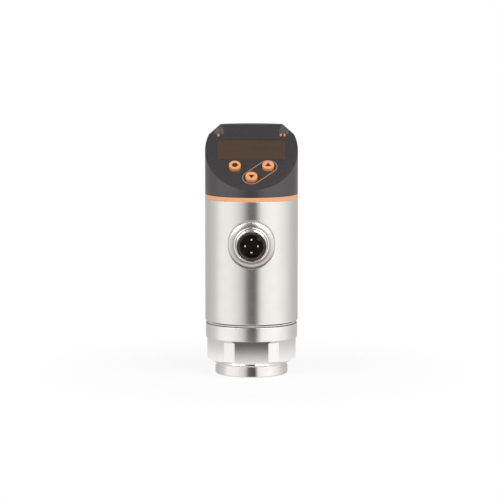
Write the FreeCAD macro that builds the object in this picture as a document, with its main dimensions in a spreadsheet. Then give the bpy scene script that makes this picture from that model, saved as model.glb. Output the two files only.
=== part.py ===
import FreeCAD, Part
import os

import Sketcher
from FreeCAD import Placement, Rotation, Vector

os.makedirs("parts", exist_ok=True)
doc = FreeCAD.newDocument("pressure_transmitter")

# Driving dimensions in millimetres and degrees; the bottom face is z = 0 and the connector looks to -Y.
DIMENSIONS = {
    # housing tube and its connector pocket
    "housing_radius": 18.0,
    "housing_height": 47.45,
    "housing_wall": 1.6,
    "edge_break": 0.25,
    "pocket_room": 2.3,
    "pocket_depth": 3.4,
    "pocket_rounding": 1.4,
    "boss_wall": 1.6,
    "boss_play": 0.4,
    # turning joint, from the housing's collar inwards
    "collar_wall": 4.85,
    "collar_share": 0.21,
    "running_gap": 0.15,
    "turn_groove": 1.1,
    "bearing_ring_inset": 0.55,
    "ring_groove_depth": 0.7,
    "ring_thickness": 1.1,
    "ring_width": 2.3,
    "ring_mouth_angle": 50.0,
    "neck_rim": 0.9,
    "neck_seal_section": 0.75,
    "stop_pin_radius": 0.75,
    "stop_pin_offset": 2.0,
    "stop_pin_reach": 2.0,
    "stop_slot_play": 0.25,
    "stop_lug_angle": 8.0,
    # process body, from the bottom face upwards
    "foot_inset": 3.9,
    "foot_height": 3.1,
    "foot_rounding": 0.7,
    "shoulder_inset": 0.35,
    "shoulder_height": 0.96,
    "cone_height": 2.14,
    "hex_inset": 2.0,
    "hex_corner": 1.27,
    "hex_height": 6.6,
    "band_cone_height": 1.7,
    "band_inset": 0.2,
    "band_height": 5.35,
    "neck_wall": 2.4,
    # measuring cell and what holds it
    "cell_play": 0.3,
    "cell_height": 5.5,
    "cell_seal_width": 1.3,
    "cell_seal_height": 0.8,
    "sill_height": 1.2,
    "support_width": 2.8,
    "support_height": 4.0,
    "sensor_board_inset": 0.7,
    "board_thickness": 1.6,
    # connector along its own axis
    "thread_radius": 6.0,
    "shank_relief": 0.1,
    "shank_wall": 1.55,
    "shank_play": 0.1,
    "plug_reach": 9.4,
    "plug_collar_width": 0.9,
    "plug_collar_height": 3.8,
    "plug_rear": 6.2,
    "shell_rim": 0.45,
    "insert_play": 0.05,
    "insert_inset": 0.25,
    "insert_wall": 1.0,
    "insert_floor": 1.0,
    "cavity_chamfer": 0.4,
    "cavity_depth": 8.5,
    "key_width": 1.5,
    "key_height": 0.9,
    "key_angle": 45.0,
    "pin_radius": 0.5,
    "pin_circle": 2.5,
    "pin_inset": 1.6,
    "pin_tail": 1.6,
    "gasket_height": 0.8,
    "gasket_width": 2.2,
    "nut_across": 16.0,
    "nut_height": 3.0,
    # accent ring and seal between housing and head
    "accent_height": 1.7,
    "accent_spigot": 2.0,
    "spigot_play": 0.05,
    "accent_play": 0.15,
    "head_seal_height": 1.6,
    "head_seal_depth": 0.6,
    # display head
    "head_height": 26.1,
    "head_wall": 1.8,
    "head_floor": 1.1,
    "head_lip": 2.8,
    "top_front_share": 0.639,
    "top_side_share": 0.6722,
    "bevel_angle": 38.8,
    "head_edge": 0.6,
    "head_spigot_room": 1.8,
    "head_spigot_length": 6.9,
    "head_spigot_wall": 1.6,
    # display, its window and its board, along the sloping face
    "window_side_share": 0.7444,
    "window_top_share": 0.249,
    "window_rounding": 1.6,
    "window_thickness": 0.9,
    "window_play": 0.05,
    "display_margin": 1.4,
    "display_depth": 3.3,
    "display_board_thickness": 1.2,
    "display_board_bottom": 1.8,
    "display_board_corner": 4.5,
    "board_side_share": 0.7407,
    "board_top_share": 0.65,
    "post_inset": 1.6,
    "post_radius": 1.5,
    "post_offset": 4.0,
    "post_drop": 3.2,
    "screw_radius": 0.8,
    "screw_length": 3.2,
    "screw_head_radius": 1.5,
    "screw_head_height": 1.1,
    # push buttons and their switches
    "button_radius": 2.35,
    "button_play": 0.15,
    "button_rise": 1.6,
    "button_rounding": 1.0,
    "button_flange": 0.65,
    "button_flange_height": 0.6,
    "button_travel": 0.5,
    "button_lip": 7.14,
    "button_drop": 4.4,
    "button_row": 6.2,
    "symbol_radius": 1.1,
    "symbol_depth": 0.25,
    "symbol_rise": 0.05,
    "switch_width": 3.5,
    # status lights in the upper corners of the head
    "lens_width": 3.8,
    "lens_lap": 0.2,
    "lens_front": 4.5,
    "lens_back": 0.9,
    "led_width": 1.6,
    "led_height": 0.8,
    "led_margin": 1.0,
    "led_gap": 0.3,
    # carrier, main board and ribbon inside the housing
    "carrier_play": 0.2,
    "carrier_ring_play": 0.4,
    "carrier_neck_play": 0.3,
    "carrier_plate": 1.2,
    "carrier_hole": 6.0,
    "rail_width": 2.4,
    "rail_depth": 5.0,
    "rail_height": 20.0,
    "main_board_inset": 1.0,
    "main_board_height": 24.0,
    "main_board_place": 2.0,
    "slot_depth": 1.2,
    "slot_play": 0.05,
    "ribbon_width": 9.0,
    "ribbon_thickness": 0.3,
    "ribbon_lap": 4.0,
}

dims = doc.addObject("Spreadsheet::Sheet", "dims")
for row, (alias, size) in enumerate(DIMENSIONS.items(), start=1):
    dims.set(f"A{row}", alias)
    dims.set(f"B{row}", str(size))
    dims.setAlias(f"B{row}", alias)
doc.recompute()

subparts = []
FULL_TURN = 360
PIN_COUNT = 4
HEX_SIDE_COUNT = 6
SEAL_SIDE_COUNT = 8
# How far a cutting tool reaches past what it cuts.
CUT_MARGIN = "2"
# Below this difference in millimetres, two places are the same.
TOLERANCE = 1e-3


def size(alias):
    """The expression that reads one driving dimension."""
    return f"dims.{alias}"


def total(*terms):
    """The expression that adds up terms."""
    return "(" + " + ".join(terms) + ")"


def minus(first, *others):
    """The expression that takes the other terms from the first."""
    return "(" + " - ".join((first,) + others) + ")"


def half(term):
    return f"({term} / 2)"


def negative(term):
    return f"(0 - {term})"


def value(expression):
    """What an expression gives now, as a plain number."""
    return float(dims.evalExpression(expression))


# Levels above the bottom face, all added up from the driving dimensions.
SHOULDER_LEVEL = size("foot_height")
CONE_LEVEL = total(SHOULDER_LEVEL, size("shoulder_height"))
HEX_LEVEL = total(CONE_LEVEL, size("cone_height"))
BAND_CONE_LEVEL = total(HEX_LEVEL, size("hex_height"))
BAND_LEVEL = total(BAND_CONE_LEVEL, size("band_cone_height"))
BAND_TOP = total(BAND_LEVEL, size("band_height"))
HOUSING_LEVEL = total(BAND_TOP, size("turn_groove"))
COLLAR_HEIGHT = f"({size('housing_height')} * {size('collar_share')})"
COLLAR_TOP = total(HOUSING_LEVEL, COLLAR_HEIGHT)
RING_LEVEL = total(COLLAR_TOP, size("running_gap"))
RING_TOP = total(RING_LEVEL, size("ring_thickness"))
NECK_TOP = total(RING_TOP, size("neck_rim"))
HOUSING_TOP = total(HOUSING_LEVEL, size("housing_height"))
HEAD_LEVEL = total(HOUSING_TOP, size("accent_height"))
HEAD_TOP = total(HEAD_LEVEL, size("head_height"))
NECK_SEAL_LEVEL = total(HOUSING_LEVEL, half(COLLAR_HEIGHT))
SEAT_LEVEL = total(size("sill_height"), size("cell_seal_height"))
CELL_TOP = total(SEAT_LEVEL, size("cell_height"))
SUPPORT_TOP = total(CELL_TOP, size("support_height"))

# Radii, from the housing inwards, so that each piece fits inside the one around it.
HOUSING_BORE = minus(size("housing_radius"), size("housing_wall"))
COLLAR_BORE = minus(size("housing_radius"), size("collar_wall"))
NECK_RADIUS = minus(COLLAR_BORE, size("running_gap"))
NECK_BORE = minus(NECK_RADIUS, size("neck_wall"))
RING_FLOOR = minus(NECK_RADIUS, size("ring_groove_depth"))
RING_RADIUS = total(RING_FLOOR, size("ring_width"))
NECK_SEAL_FLOOR = minus(NECK_RADIUS, f"2 * {size('neck_seal_section')}")
STOP_CIRCLE = total(NECK_RADIUS, size("stop_pin_offset"))
STOP_REACH = total(size("stop_pin_radius"), size("stop_slot_play"))
BAND_RADIUS = minus(size("housing_radius"), size("band_inset"))
FOOT_RADIUS = minus(size("housing_radius"), size("foot_inset"))
HEX_REACH = minus(size("housing_radius"), size("hex_inset"))
TURNED_RADIUS = total(HEX_REACH, size("hex_corner"))
CELL_RADIUS = minus(NECK_BORE, size("cell_play"))
SILL_BORE = minus(CELL_RADIUS, size("cell_seal_width"))
SPIGOT_RADIUS = minus(HOUSING_BORE, size("head_spigot_room"))
THROAT_RADIUS = minus(SPIGOT_RADIUS, size("head_spigot_wall"))

# Connector radii, from the thread inwards and outwards.
SHANK_RADIUS = minus(size("thread_radius"), size("shank_relief"))
PLUG_COLLAR_RADIUS = total(size("thread_radius"), size("plug_collar_width"))
POCKET_RADIUS = total(PLUG_COLLAR_RADIUS, size("pocket_room"))
BOSS_RADIUS = total(POCKET_RADIUS, size("boss_wall"))
SHELL_BORE = minus(size("thread_radius"), size("shell_rim"))
INSERT_RADIUS = minus(SHELL_BORE, size("insert_play"))
CAVITY_RADIUS = minus(INSERT_RADIUS, size("insert_wall"))
REAR_BORE = minus(SHANK_RADIUS, size("shank_wall"))
POCKET_FLOOR = minus(size("housing_radius"), size("pocket_depth"))

# The boss of the connector lies right below the head's spigot.
PLUG_LEVEL = minus(HEAD_LEVEL, size("head_spigot_length"), size("boss_play"), BOSS_RADIUS)

# The sloping face rises from the head's front lip to the front edge of its flat top, and meets the housing's
# axis at FACE_LEVEL. Its own frame has x to the right, y up the slope and z out of the face.
TOP_FRONT = f"({size('housing_radius')} * {size('top_front_share')})"
FACE_RISE = minus(size("head_height"), size("head_lip"))
FACE_ANGLE = f"atan({FACE_RISE} / {total(size('housing_radius'), TOP_FRONT)})"
FACE_LEVEL = total(HEAD_LEVEL, size("head_lip"), f"tan({FACE_ANGLE}) * {size('housing_radius')}")
FACE_SIN = f"sin({FACE_ANGLE})"
FACE_COS = f"cos({FACE_ANGLE})"

# Places along the face: the buttons start from the lip, and the window lies between them and the top.
LOWER_BUTTON = f"({size('button_lip')} - {size('housing_radius')} / {FACE_COS})"
UPPER_BUTTONS = total(LOWER_BUTTON, size("button_row"))
WINDOW_FOOT = total(UPPER_BUTTONS, size("button_drop"))
WINDOW_TOP = f"({size('housing_radius')} * {size('window_top_share')} / {FACE_COS})"
WINDOW_SIDE = f"({size('housing_radius')} * {size('window_side_share')})"

# The display board fills a share of the head's cavity; posts, buttons and lights are placed from its sides.
BOARD_DEPTH = total(size("window_thickness"), size("display_depth"))
BOARD_BACK = total(BOARD_DEPTH, size("display_board_thickness"))
CAVITY_REACH = minus(size("housing_radius"), size("head_wall"))
BOARD_SIDE = f"({CAVITY_REACH} * {size('board_side_share')})"
BOARD_TOP = f"(({CAVITY_REACH} * {size('board_top_share')} - {BOARD_BACK} * {FACE_SIN}) / {FACE_COS})"
BOARD_BOTTOM = minus(LOWER_BUTTON, size("display_board_bottom"))
POST_SIDE = minus(BOARD_SIDE, size("post_inset"))
POST_PLACE = minus(UPPER_BUTTONS, size("post_drop"))
BUTTON_SIDE = minus(POST_SIDE, size("post_offset"))
LED_SIDE = minus(BOARD_SIDE, size("led_margin"))
LED_PLACE = minus(BOARD_TOP, size("led_margin"))


def origin_plane(body, role):
    return next(plane for plane in body.Origin.OriginFeatures if plane.Role == role)


def new_body(label):
    body = doc.addObject("PartDesign::Body", label)
    body.Label = label
    return body


def keep(part):
    """Marks a finished object as a sub-part."""
    subparts.append(part)
    return part


def place(part, x="0", y="0", z="0", tilt=None):
    """Binds where a part stands and, where it leans, its tilt about x."""
    angle = value(tilt) if tilt else 0
    part.Placement = Placement(Vector(value(x), value(y), value(z)), Rotation(Vector(1, 0, 0), angle))
    for letter, term in zip("xyz", (x, y, z)):
        part.setExpression(f"Placement.Base.{letter}", term)
    if tilt:
        part.setExpression("Placement.Rotation.Angle", tilt)
    return part


def on_face(part, x="0", along="0", out="0"):
    """Stands a part on the sloping face: along goes up the slope and out leaves the face."""
    y = f"({along} * {FACE_COS} - ({out}) * {FACE_SIN})"
    z = f"({FACE_LEVEL} + {along} * {FACE_SIN} + ({out}) * {FACE_COS})"
    return place(part, x, y, z, FACE_ANGLE)


def on_plug_axis(part):
    """Stands a part on the connector's axis, with its own z pointing out of the pocket's floor."""
    return place(part, y=negative(POCKET_FLOOR), z=PLUG_LEVEL, tilt="90")


def new_sketch(body, name, role, level="0"):
    """An empty sketch on one of the body's own planes, moved along its normal by level."""
    sketch = body.newObject("Sketcher::SketchObject", name)
    sketch.AttachmentSupport = [(origin_plane(body, role), "")]
    sketch.MapMode = "FlatFace"
    sketch.setExpression("AttachmentOffset.Base.z", level)
    return sketch


def lean(sketch, inset="0"):
    """Leans a sketch of the XY plane into the sloping face, or inset below it."""
    sketch.AttachmentOffset = Placement(Vector(0, 0, 0), Rotation(Vector(1, 0, 0), value(FACE_ANGLE)))
    sketch.setExpression("AttachmentOffset.Rotation.Angle", FACE_ANGLE)
    sketch.setExpression("AttachmentOffset.Base.y", f"{inset} * {FACE_SIN}")
    sketch.setExpression("AttachmentOffset.Base.z", f"{FACE_LEVEL} - {inset} * {FACE_COS}")
    return sketch


def bind(sketch, kind, where, term):
    """Adds one dimension to a sketch and ties it to its expression."""
    number = sketch.addConstraint(Sketcher.Constraint(kind, *where, value(term)))
    sketch.setExpression(f"Constraints[{number}]", term)


def draw_outline(sketch, corners):
    """Draws a closed outline whose corners are pairs of expressions."""
    first = sketch.GeometryCount
    points = [Vector(value(x), value(y), 0) for x, y in corners]
    count = len(points)
    for i in range(count):
        sketch.addGeometry(Part.LineSegment(points[i], points[(i + 1) % count]))
    for i in range(count):
        joined = Sketcher.Constraint("Coincident", first + i, 2, first + (i + 1) % count, 1)
        sketch.addConstraint(joined)
    for i, (x, y) in enumerate(corners):
        bind(sketch, "DistanceX", (-1, 1, first + i, 1), x)
        bind(sketch, "DistanceY", (-1, 1, first + i, 1), y)
    return sketch


def draw_circle(sketch, radius, x="0", y="0"):
    centre = Vector(value(x), value(y), 0)
    number = sketch.addGeometry(Part.Circle(centre, Vector(0, 0, 1), value(radius)))
    bind(sketch, "DistanceX", (-1, 1, number, 3), x)
    bind(sketch, "DistanceY", (-1, 1, number, 3), y)
    bind(sketch, "Radius", (number,), radius)
    return sketch


def rectangle(x_low, x_high, y_low, y_high):
    return [(x_low, y_low), (x_high, y_low), (x_high, y_high), (x_low, y_high)]


def extrude(body, kind, name, sketch, length, midplane=False, backwards=False):
    feature = body.newObject(f"PartDesign::{kind}", name)
    feature.Profile = sketch
    feature.setExpression("Length", length)
    feature.Midplane = midplane
    feature.Reversed = backwards
    return feature


def turn(body, kind, name, sketch, angle=None):
    """Turns a sketch about its own vertical axis, all round or by an angle to both sides."""
    feature = body.newObject(f"PartDesign::{kind}", name)
    feature.Profile = sketch
    feature.ReferenceAxis = (sketch, ["V_Axis"])
    feature.Angle = FULL_TURN
    if angle:
        feature.setExpression("Angle", angle)
        feature.Midplane = True
    return feature


def polar_copies(body, name, feature, sketch, count):
    pattern = body.newObject("PartDesign::PolarPattern", name)
    pattern.Originals = [feature]
    pattern.Axis = (sketch, ["N_Axis"])
    pattern.Angle = FULL_TURN
    pattern.Occurrences = count
    body.Tip = pattern
    return pattern


def soften(body, kind, name, wanted, measure, term):
    """Rounds or chamfers the edges of the body's tip that the wanted test picks."""
    doc.recompute()
    base = body.Tip
    names = [f"Edge{i}" for i, edge in enumerate(base.Shape.Edges, start=1) if wanted(edge)]
    feature = body.newObject(f"PartDesign::{kind}", name)
    feature.Base = (base, names)
    feature.setExpression(measure, term)
    return feature


def is_circle(edge, radius, level):
    """Whether an edge is a full circle about z, with this radius at this level."""
    curve = edge.Curve
    if not isinstance(curve, Part.Circle) or not edge.isClosed():
        return False
    same_radius = abs(curve.Radius - value(radius)) < TOLERANCE
    return same_radius and abs(curve.Center.z - value(level)) < TOLERANCE


def turned_part(label, profile):
    """A sub-part turned about z from one closed profile of radius and height pairs."""
    body = new_body(label)
    sketch = draw_outline(new_sketch(body, f"{label}_profile", "XZ_Plane"), profile)
    turn(body, "Revolution", f"{label}_turned", sketch)
    return keep(body)


def turned_ring(label, bore, radius, low, high):
    return turned_part(label, rectangle(bore, radius, low, high))


def polygon(count, radius, first_angle, x="0", y="0"):
    """The corners of a regular polygon about x and y, the first one at first_angle."""
    angles = [first_angle + i * FULL_TURN / count for i in range(count)]
    return [(f"({x} + {radius} * cos({angle}))", f"({y} + {radius} * sin({angle}))") for angle in angles]


def flats_polygon(count, apothem, x="0", y="0"):
    """The corners of a regular polygon of an even count whose first flat faces x."""
    half_side = FULL_TURN / count / 2
    return polygon(count, f"({apothem} / cos({half_side}))", half_side, x, y)


def rounded_corner(radius, level, rounding, inwards):
    """Three corners that round an outer edge of a turned profile in two steps. The piece lies above the edge
    where inwards is total, and below it where inwards is minus."""
    short = f"({rounding} * (1 - cos(45)))"
    return [(minus(radius, rounding), level), (minus(radius, short), inwards(level, short)),
            (radius, inwards(level, rounding))]


def box(name, width, depth, height):
    block = doc.addObject("Part::Box", name)
    for side, term in (("Length", width), ("Width", depth), ("Height", height)):
        block.setExpression(side, term)
    return block


def cylinder(name, radius, height):
    rod = doc.addObject("Part::Cylinder", name)
    rod.setExpression("Radius", radius)
    rod.setExpression("Height", height)
    return rod


def cut(label, base, tool):
    result = doc.addObject("Part::Cut", label)
    result.Label = label
    result.Base = base
    result.Tool = tool
    return result


def group(label, members):
    """Separate like pieces that share one sub-part."""
    result = doc.addObject("Part::Compound", label)
    result.Label = label
    result.Links = members
    return keep(result)


# Process body: foot, cone, hexagon with turned corners, band and the neck that the housing turns on.
def make_process_body():
    body = new_body("process_body")
    sill = size("sill_height")
    shoulder = minus(FOOT_RADIUS, size("shoulder_inset"))
    profile = [(SILL_BORE, "0")] + rounded_corner(FOOT_RADIUS, "0", size("foot_rounding"), total) + [
        (FOOT_RADIUS, SHOULDER_LEVEL), (shoulder, SHOULDER_LEVEL),
        (shoulder, CONE_LEVEL), (TURNED_RADIUS, HEX_LEVEL), (TURNED_RADIUS, BAND_CONE_LEVEL),
        (BAND_RADIUS, BAND_LEVEL), (BAND_RADIUS, BAND_TOP), (NECK_RADIUS, BAND_TOP), (NECK_RADIUS, NECK_TOP),
        (NECK_BORE, NECK_TOP), (NECK_BORE, sill), (SILL_BORE, sill),
    ]
    turn(body, "Revolution", "process_turned",
         draw_outline(new_sketch(body, "process_profile", "XZ_Plane"), profile))

    flat = new_sketch(body, "flat_outline", "XY_Plane", CONE_LEVEL)
    beyond = total(size("housing_radius"), CUT_MARGIN)
    draw_outline(flat, rectangle(negative(HEX_REACH), HEX_REACH, negative(beyond), negative(HEX_REACH)))
    first_flat = extrude(body, "Pocket", "hex_flat", flat, minus(BAND_LEVEL, CONE_LEVEL), backwards=True)
    polar_copies(body, "hex_flats", first_flat, flat, HEX_SIDE_COUNT)

    ring_groove = new_sketch(body, "ring_groove_profile", "XZ_Plane")
    draw_outline(ring_groove, rectangle(RING_FLOOR, COLLAR_BORE, RING_LEVEL, RING_TOP))
    turn(body, "Groove", "ring_groove", ring_groove)

    seal_groove = new_sketch(body, "seal_groove_profile", "XZ_Plane")
    section = size("neck_seal_section")
    draw_outline(seal_groove, rectangle(NECK_SEAL_FLOOR, COLLAR_BORE,
                                        minus(NECK_SEAL_LEVEL, section), total(NECK_SEAL_LEVEL, section)))
    turn(body, "Groove", "seal_groove", seal_groove)

    pin_hole = new_sketch(body, "pin_hole_outline", "XY_Plane", BAND_TOP)
    draw_circle(pin_hole, size("stop_pin_radius"), y=STOP_CIRCLE)
    extrude(body, "Pocket", "pin_hole", pin_hole, size("stop_pin_reach"))
    return keep(body)


def make_turning_joint():
    """The pieces that carry, seal, hold and stop the turning housing."""
    turned_ring("bearing_ring", total(STOP_CIRCLE, STOP_REACH),
                minus(size("housing_radius"), size("bearing_ring_inset")),
                BAND_TOP, minus(HOUSING_LEVEL, size("running_gap")))
    section = size("neck_seal_section")
    turned_part("neck_seal", flats_polygon(SEAL_SIDE_COUNT, section, total(NECK_SEAL_FLOOR, section),
                                           NECK_SEAL_LEVEL))

    ring = new_body("retaining_ring")
    sketch = new_sketch(ring, "retaining_profile", "XZ_Plane")
    draw_outline(sketch, rectangle(RING_FLOOR, RING_RADIUS, RING_LEVEL, RING_TOP))
    turn(ring, "Revolution", "retaining_turned", sketch, minus(str(FULL_TURN), size("ring_mouth_angle")))
    keep(ring)

    reach = size("stop_pin_reach")
    pin = cylinder("stop_pin", size("stop_pin_radius"), total(reach, size("turn_groove"), reach))
    keep(place(pin, y=STOP_CIRCLE, z=minus(BAND_TOP, reach)))


def make_measuring_cell():
    """The cell seals on the sill from above and carries its support ring and sensor board."""
    turned_ring("cell_seal", SILL_BORE, CELL_RADIUS, size("sill_height"), SEAT_LEVEL)
    turned_part("measuring_cell", rectangle("0", CELL_RADIUS, SEAT_LEVEL, CELL_TOP))
    turned_ring("cell_support", minus(CELL_RADIUS, size("support_width")), CELL_RADIUS, CELL_TOP, SUPPORT_TOP)
    board_top = total(SUPPORT_TOP, size("board_thickness"))
    board_radius = minus(CELL_RADIUS, size("sensor_board_inset"))
    turned_part("sensor_board", rectangle("0", board_radius, SUPPORT_TOP, board_top))


# Housing: tube with the turning collar below and the round pocket with its boss for the connector.
def make_housing():
    body = new_body("housing")
    outer, bore, low = size("housing_radius"), HOUSING_BORE, HOUSING_LEVEL
    boss_back = minus(POCKET_FLOOR, size("boss_wall"))
    mid_wall = minus(outer, half(size("housing_wall")))

    boss = new_sketch(body, "boss_outline", "XZ_Plane", boss_back)
    draw_circle(boss, BOSS_RADIUS, y=PLUG_LEVEL)
    extrude(body, "Pad", "boss_pad", boss, size("pocket_depth"))
    trim = new_sketch(body, "boss_trim_profile", "XZ_Plane")
    far = total(outer, BOSS_RADIUS)
    boss_low = minus(PLUG_LEVEL, BOSS_RADIUS, CUT_MARGIN)
    boss_high = total(PLUG_LEVEL, BOSS_RADIUS, CUT_MARGIN)
    draw_outline(trim, rectangle(mid_wall, far, boss_low, boss_high))
    turn(body, "Groove", "boss_trim", trim)

    wall = new_sketch(body, "wall_profile", "XZ_Plane")
    draw_outline(wall, [(COLLAR_BORE, low), (outer, low), (outer, HOUSING_TOP), (bore, HOUSING_TOP),
                        (bore, COLLAR_TOP), (COLLAR_BORE, COLLAR_TOP)])
    turn(body, "Revolution", "wall_turned", wall)

    pocket = new_sketch(body, "pocket_profile", "XY_Plane", PLUG_LEVEL)
    floor_corner = rounded_corner(POCKET_RADIUS, negative(POCKET_FLOOR), size("pocket_rounding"), minus)
    draw_outline(pocket, [("0", negative(POCKET_FLOOR))] + floor_corner
                 + [(POCKET_RADIUS, negative(far)), ("0", negative(far))])
    turn(body, "Groove", "plug_pocket", pocket)
    hole = new_sketch(body, "plug_hole_outline", "XZ_Plane", outer)
    draw_circle(hole, total(SHANK_RADIUS, size("shank_play")), y=PLUG_LEVEL)
    extrude(body, "Pocket", "plug_hole", hole, outer)

    slot = new_sketch(body, "stop_slot_profile", "YZ_Plane")
    slot_top = total(low, size("stop_pin_reach"), size("stop_slot_play"))
    draw_outline(slot, rectangle(minus(STOP_CIRCLE, STOP_REACH), total(STOP_CIRCLE, STOP_REACH),
                                 minus(low, size("turn_groove")), slot_top))
    turn(body, "Groove", "stop_slot", slot, minus(str(FULL_TURN), size("stop_lug_angle")))
    soften(body, "Chamfer", "housing_edge", lambda edge: is_circle(edge, outer, low), "Size",
           size("edge_break"))
    return keep(body)


# Connector: its z axis leaves the pocket's floor, so lengths behind the floor are negative.
def make_connector():
    reach, thread = size("plug_reach"), size("thread_radius")
    collar_top = size("plug_collar_height")
    back = negative(total(size("boss_wall"), size("plug_rear")))
    mouth = minus(reach, size("insert_inset"))
    cavity_floor = minus(mouth, size("cavity_depth"))
    step = minus(cavity_floor, size("insert_floor"))
    shell = turned_part("connector_shell", [
        (REAR_BORE, back), (SHANK_RADIUS, back), (SHANK_RADIUS, "0"), (PLUG_COLLAR_RADIUS, "0"),
        (PLUG_COLLAR_RADIUS, collar_top), (thread, collar_top), (thread, reach), (SHELL_BORE, reach),
        (SHELL_BORE, step), (REAR_BORE, step),
    ])
    soften(shell, "Chamfer", "shell_lead", lambda edge: is_circle(edge, thread, reach), "Size",
           size("edge_break"))
    soften(shell, "Chamfer", "collar_lead", lambda edge: is_circle(edge, PLUG_COLLAR_RADIUS, collar_top),
           "Size", size("edge_break"))
    on_plug_axis(shell)

    insert_rear = minus(REAR_BORE, size("insert_play"))
    lead = size("cavity_chamfer")
    body = new_body("connector_insert")
    profile = new_sketch(body, "insert_profile", "XZ_Plane")
    draw_outline(profile, [
        ("0", back), (insert_rear, back), (insert_rear, step), (INSERT_RADIUS, step), (INSERT_RADIUS, mouth),
        (total(CAVITY_RADIUS, lead), mouth), (CAVITY_RADIUS, minus(mouth, lead)),
        (CAVITY_RADIUS, cavity_floor), ("0", cavity_floor),
    ])
    turn(body, "Revolution", "insert_turned", profile)
    key = new_sketch(body, "key_outline", "XY_Plane", cavity_floor)
    key.setExpression("AttachmentOffset.Rotation.Angle", size("key_angle"))
    half_key = half(size("key_width"))
    draw_outline(key, rectangle(minus(CAVITY_RADIUS, size("key_height")), total(CAVITY_RADIUS, lead),
                                negative(half_key), half_key))
    extrude(body, "Pad", "key_rib", key, minus(size("cavity_depth"), lead))
    holes = new_sketch(body, "pin_hole_circle", "XY_Plane", cavity_floor)
    draw_circle(holes, size("pin_radius"), x=size("pin_circle"))
    first_hole = extrude(body, "Pocket", "contact_hole", holes, total(minus(cavity_floor, back), lead))
    polar_copies(body, "contact_holes", first_hole, holes, PIN_COUNT)
    on_plug_axis(keep(body))

    pins = []
    tip = minus(mouth, size("pin_inset"))
    tail = minus(back, size("pin_tail"))
    for number in range(PIN_COUNT):
        pin = cylinder(f"contact_pin_{number + 1}", size("pin_radius"), minus(tip, tail))
        turned = number * FULL_TURN // PIN_COUNT
        across = f"({size('pin_circle')} * cos({turned}))"
        level = f"({PLUG_LEVEL} + {size('pin_circle')} * sin({turned}))"
        pins.append(place(pin, across, negative(total(POCKET_FLOOR, tail)), level, "90"))
    group("contact_pins", pins)

    boss_back = negative(size("boss_wall"))
    gasket_back = minus(boss_back, size("gasket_height"))
    nut_back = minus(gasket_back, size("nut_height"))
    hole_radius = total(SHANK_RADIUS, size("shank_play"))
    gasket_radius = total(hole_radius, size("gasket_width"))
    on_plug_axis(turned_ring("connector_seal", hole_radius, gasket_radius, gasket_back, boss_back))
    nut = new_body("connector_nut")
    flats = new_sketch(nut, "nut_outline", "XY_Plane", nut_back)
    draw_outline(flats, flats_polygon(HEX_SIDE_COUNT, half(size("nut_across"))))
    draw_circle(flats, SHANK_RADIUS)
    extrude(nut, "Pad", "nut_pad", flats, size("nut_height"))
    on_plug_axis(keep(nut))


def make_accent_ring():
    spigot = minus(HOUSING_BORE, size("spigot_play"))
    bore, outer = total(SPIGOT_RADIUS, size("accent_play")), size("housing_radius")
    low = minus(HOUSING_TOP, size("accent_spigot"))
    turned_part("accent_ring", [(bore, low), (spigot, low), (spigot, HOUSING_TOP), (outer, HOUSING_TOP),
                                (outer, HEAD_LEVEL), (bore, HEAD_LEVEL)])
    groove_floor = minus(SPIGOT_RADIUS, size("head_seal_depth"))
    turned_ring("head_seal", groove_floor, spigot, minus(low, size("head_seal_height")), low)


# Head: a cylinder cut by the sloping face and by a bevel on each side of its flat top.
def make_head_form(name, inset, low):
    """The head's outer form, or the form that lies a wall inside it, from the level low upwards."""
    body = new_body(name)
    radius = minus(size("housing_radius"), inset)
    top = minus(HEAD_TOP, inset)
    round_plan = draw_circle(new_sketch(body, f"{name}_plan", "XY_Plane", low), radius)
    extrude(body, "Pad", f"{name}_pad", round_plan, minus(top, low))
    face = lean(new_sketch(body, f"{name}_face", "XY_Plane"), inset)
    draw_circle(face, f"(2 * {size('housing_radius')})")
    extrude(body, "Pocket", f"{name}_slope", face, size("head_height"), backwards=True)

    bevels = new_sketch(body, f"{name}_bevels", "XZ_Plane")
    angle = size("bevel_angle")
    start = f"({size('housing_radius')} * {size('top_side_share')} - {inset} * tan({angle} / 2))"
    far = total(size("housing_radius"), CUT_MARGIN)
    drop = f"({top} - tan({angle}) * ({far} - {start}))"
    above = total(top, CUT_MARGIN)
    draw_outline(bevels, [(start, top), (far, drop), (far, above), (start, above)])
    draw_outline(bevels, [(negative(start), top), (negative(start), above), (negative(far), above),
                          (negative(far), drop)])
    extrude(body, "Pocket", f"{name}_bevel", bevels, f"(2 * {far})", midplane=True)
    return body


def is_back_rim(edge):
    """Whether an edge belongs to the curved rim between the head's top and its round back."""
    reaches_top = edge.BoundBox.ZMax > value(HEAD_TOP) - TOLERANCE
    return reaches_top and not isinstance(edge.Curve, Part.Line)


def along_face_normal(edge):
    """Whether an edge is straight and square to the sloping face."""
    if not isinstance(edge.Curve, Part.Line):
        return False
    normal = Rotation(Vector(1, 0, 0), value(FACE_ANGLE)).multVec(Vector(0, 0, 1))
    return abs(edge.Curve.Direction.dot(normal)) > 0.9999


def window_edges(edge):
    """The four corners of the window's recess."""
    return along_face_normal(edge) and abs(edge.Length - value(size("window_thickness"))) < TOLERANCE


def button_places():
    """Each button's name, with its place across and up the sloping face."""
    return {"mode": (negative(BUTTON_SIDE), UPPER_BUTTONS), "up": (BUTTON_SIDE, UPPER_BUTTONS),
            "down": ("0", LOWER_BUTTON)}


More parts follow.
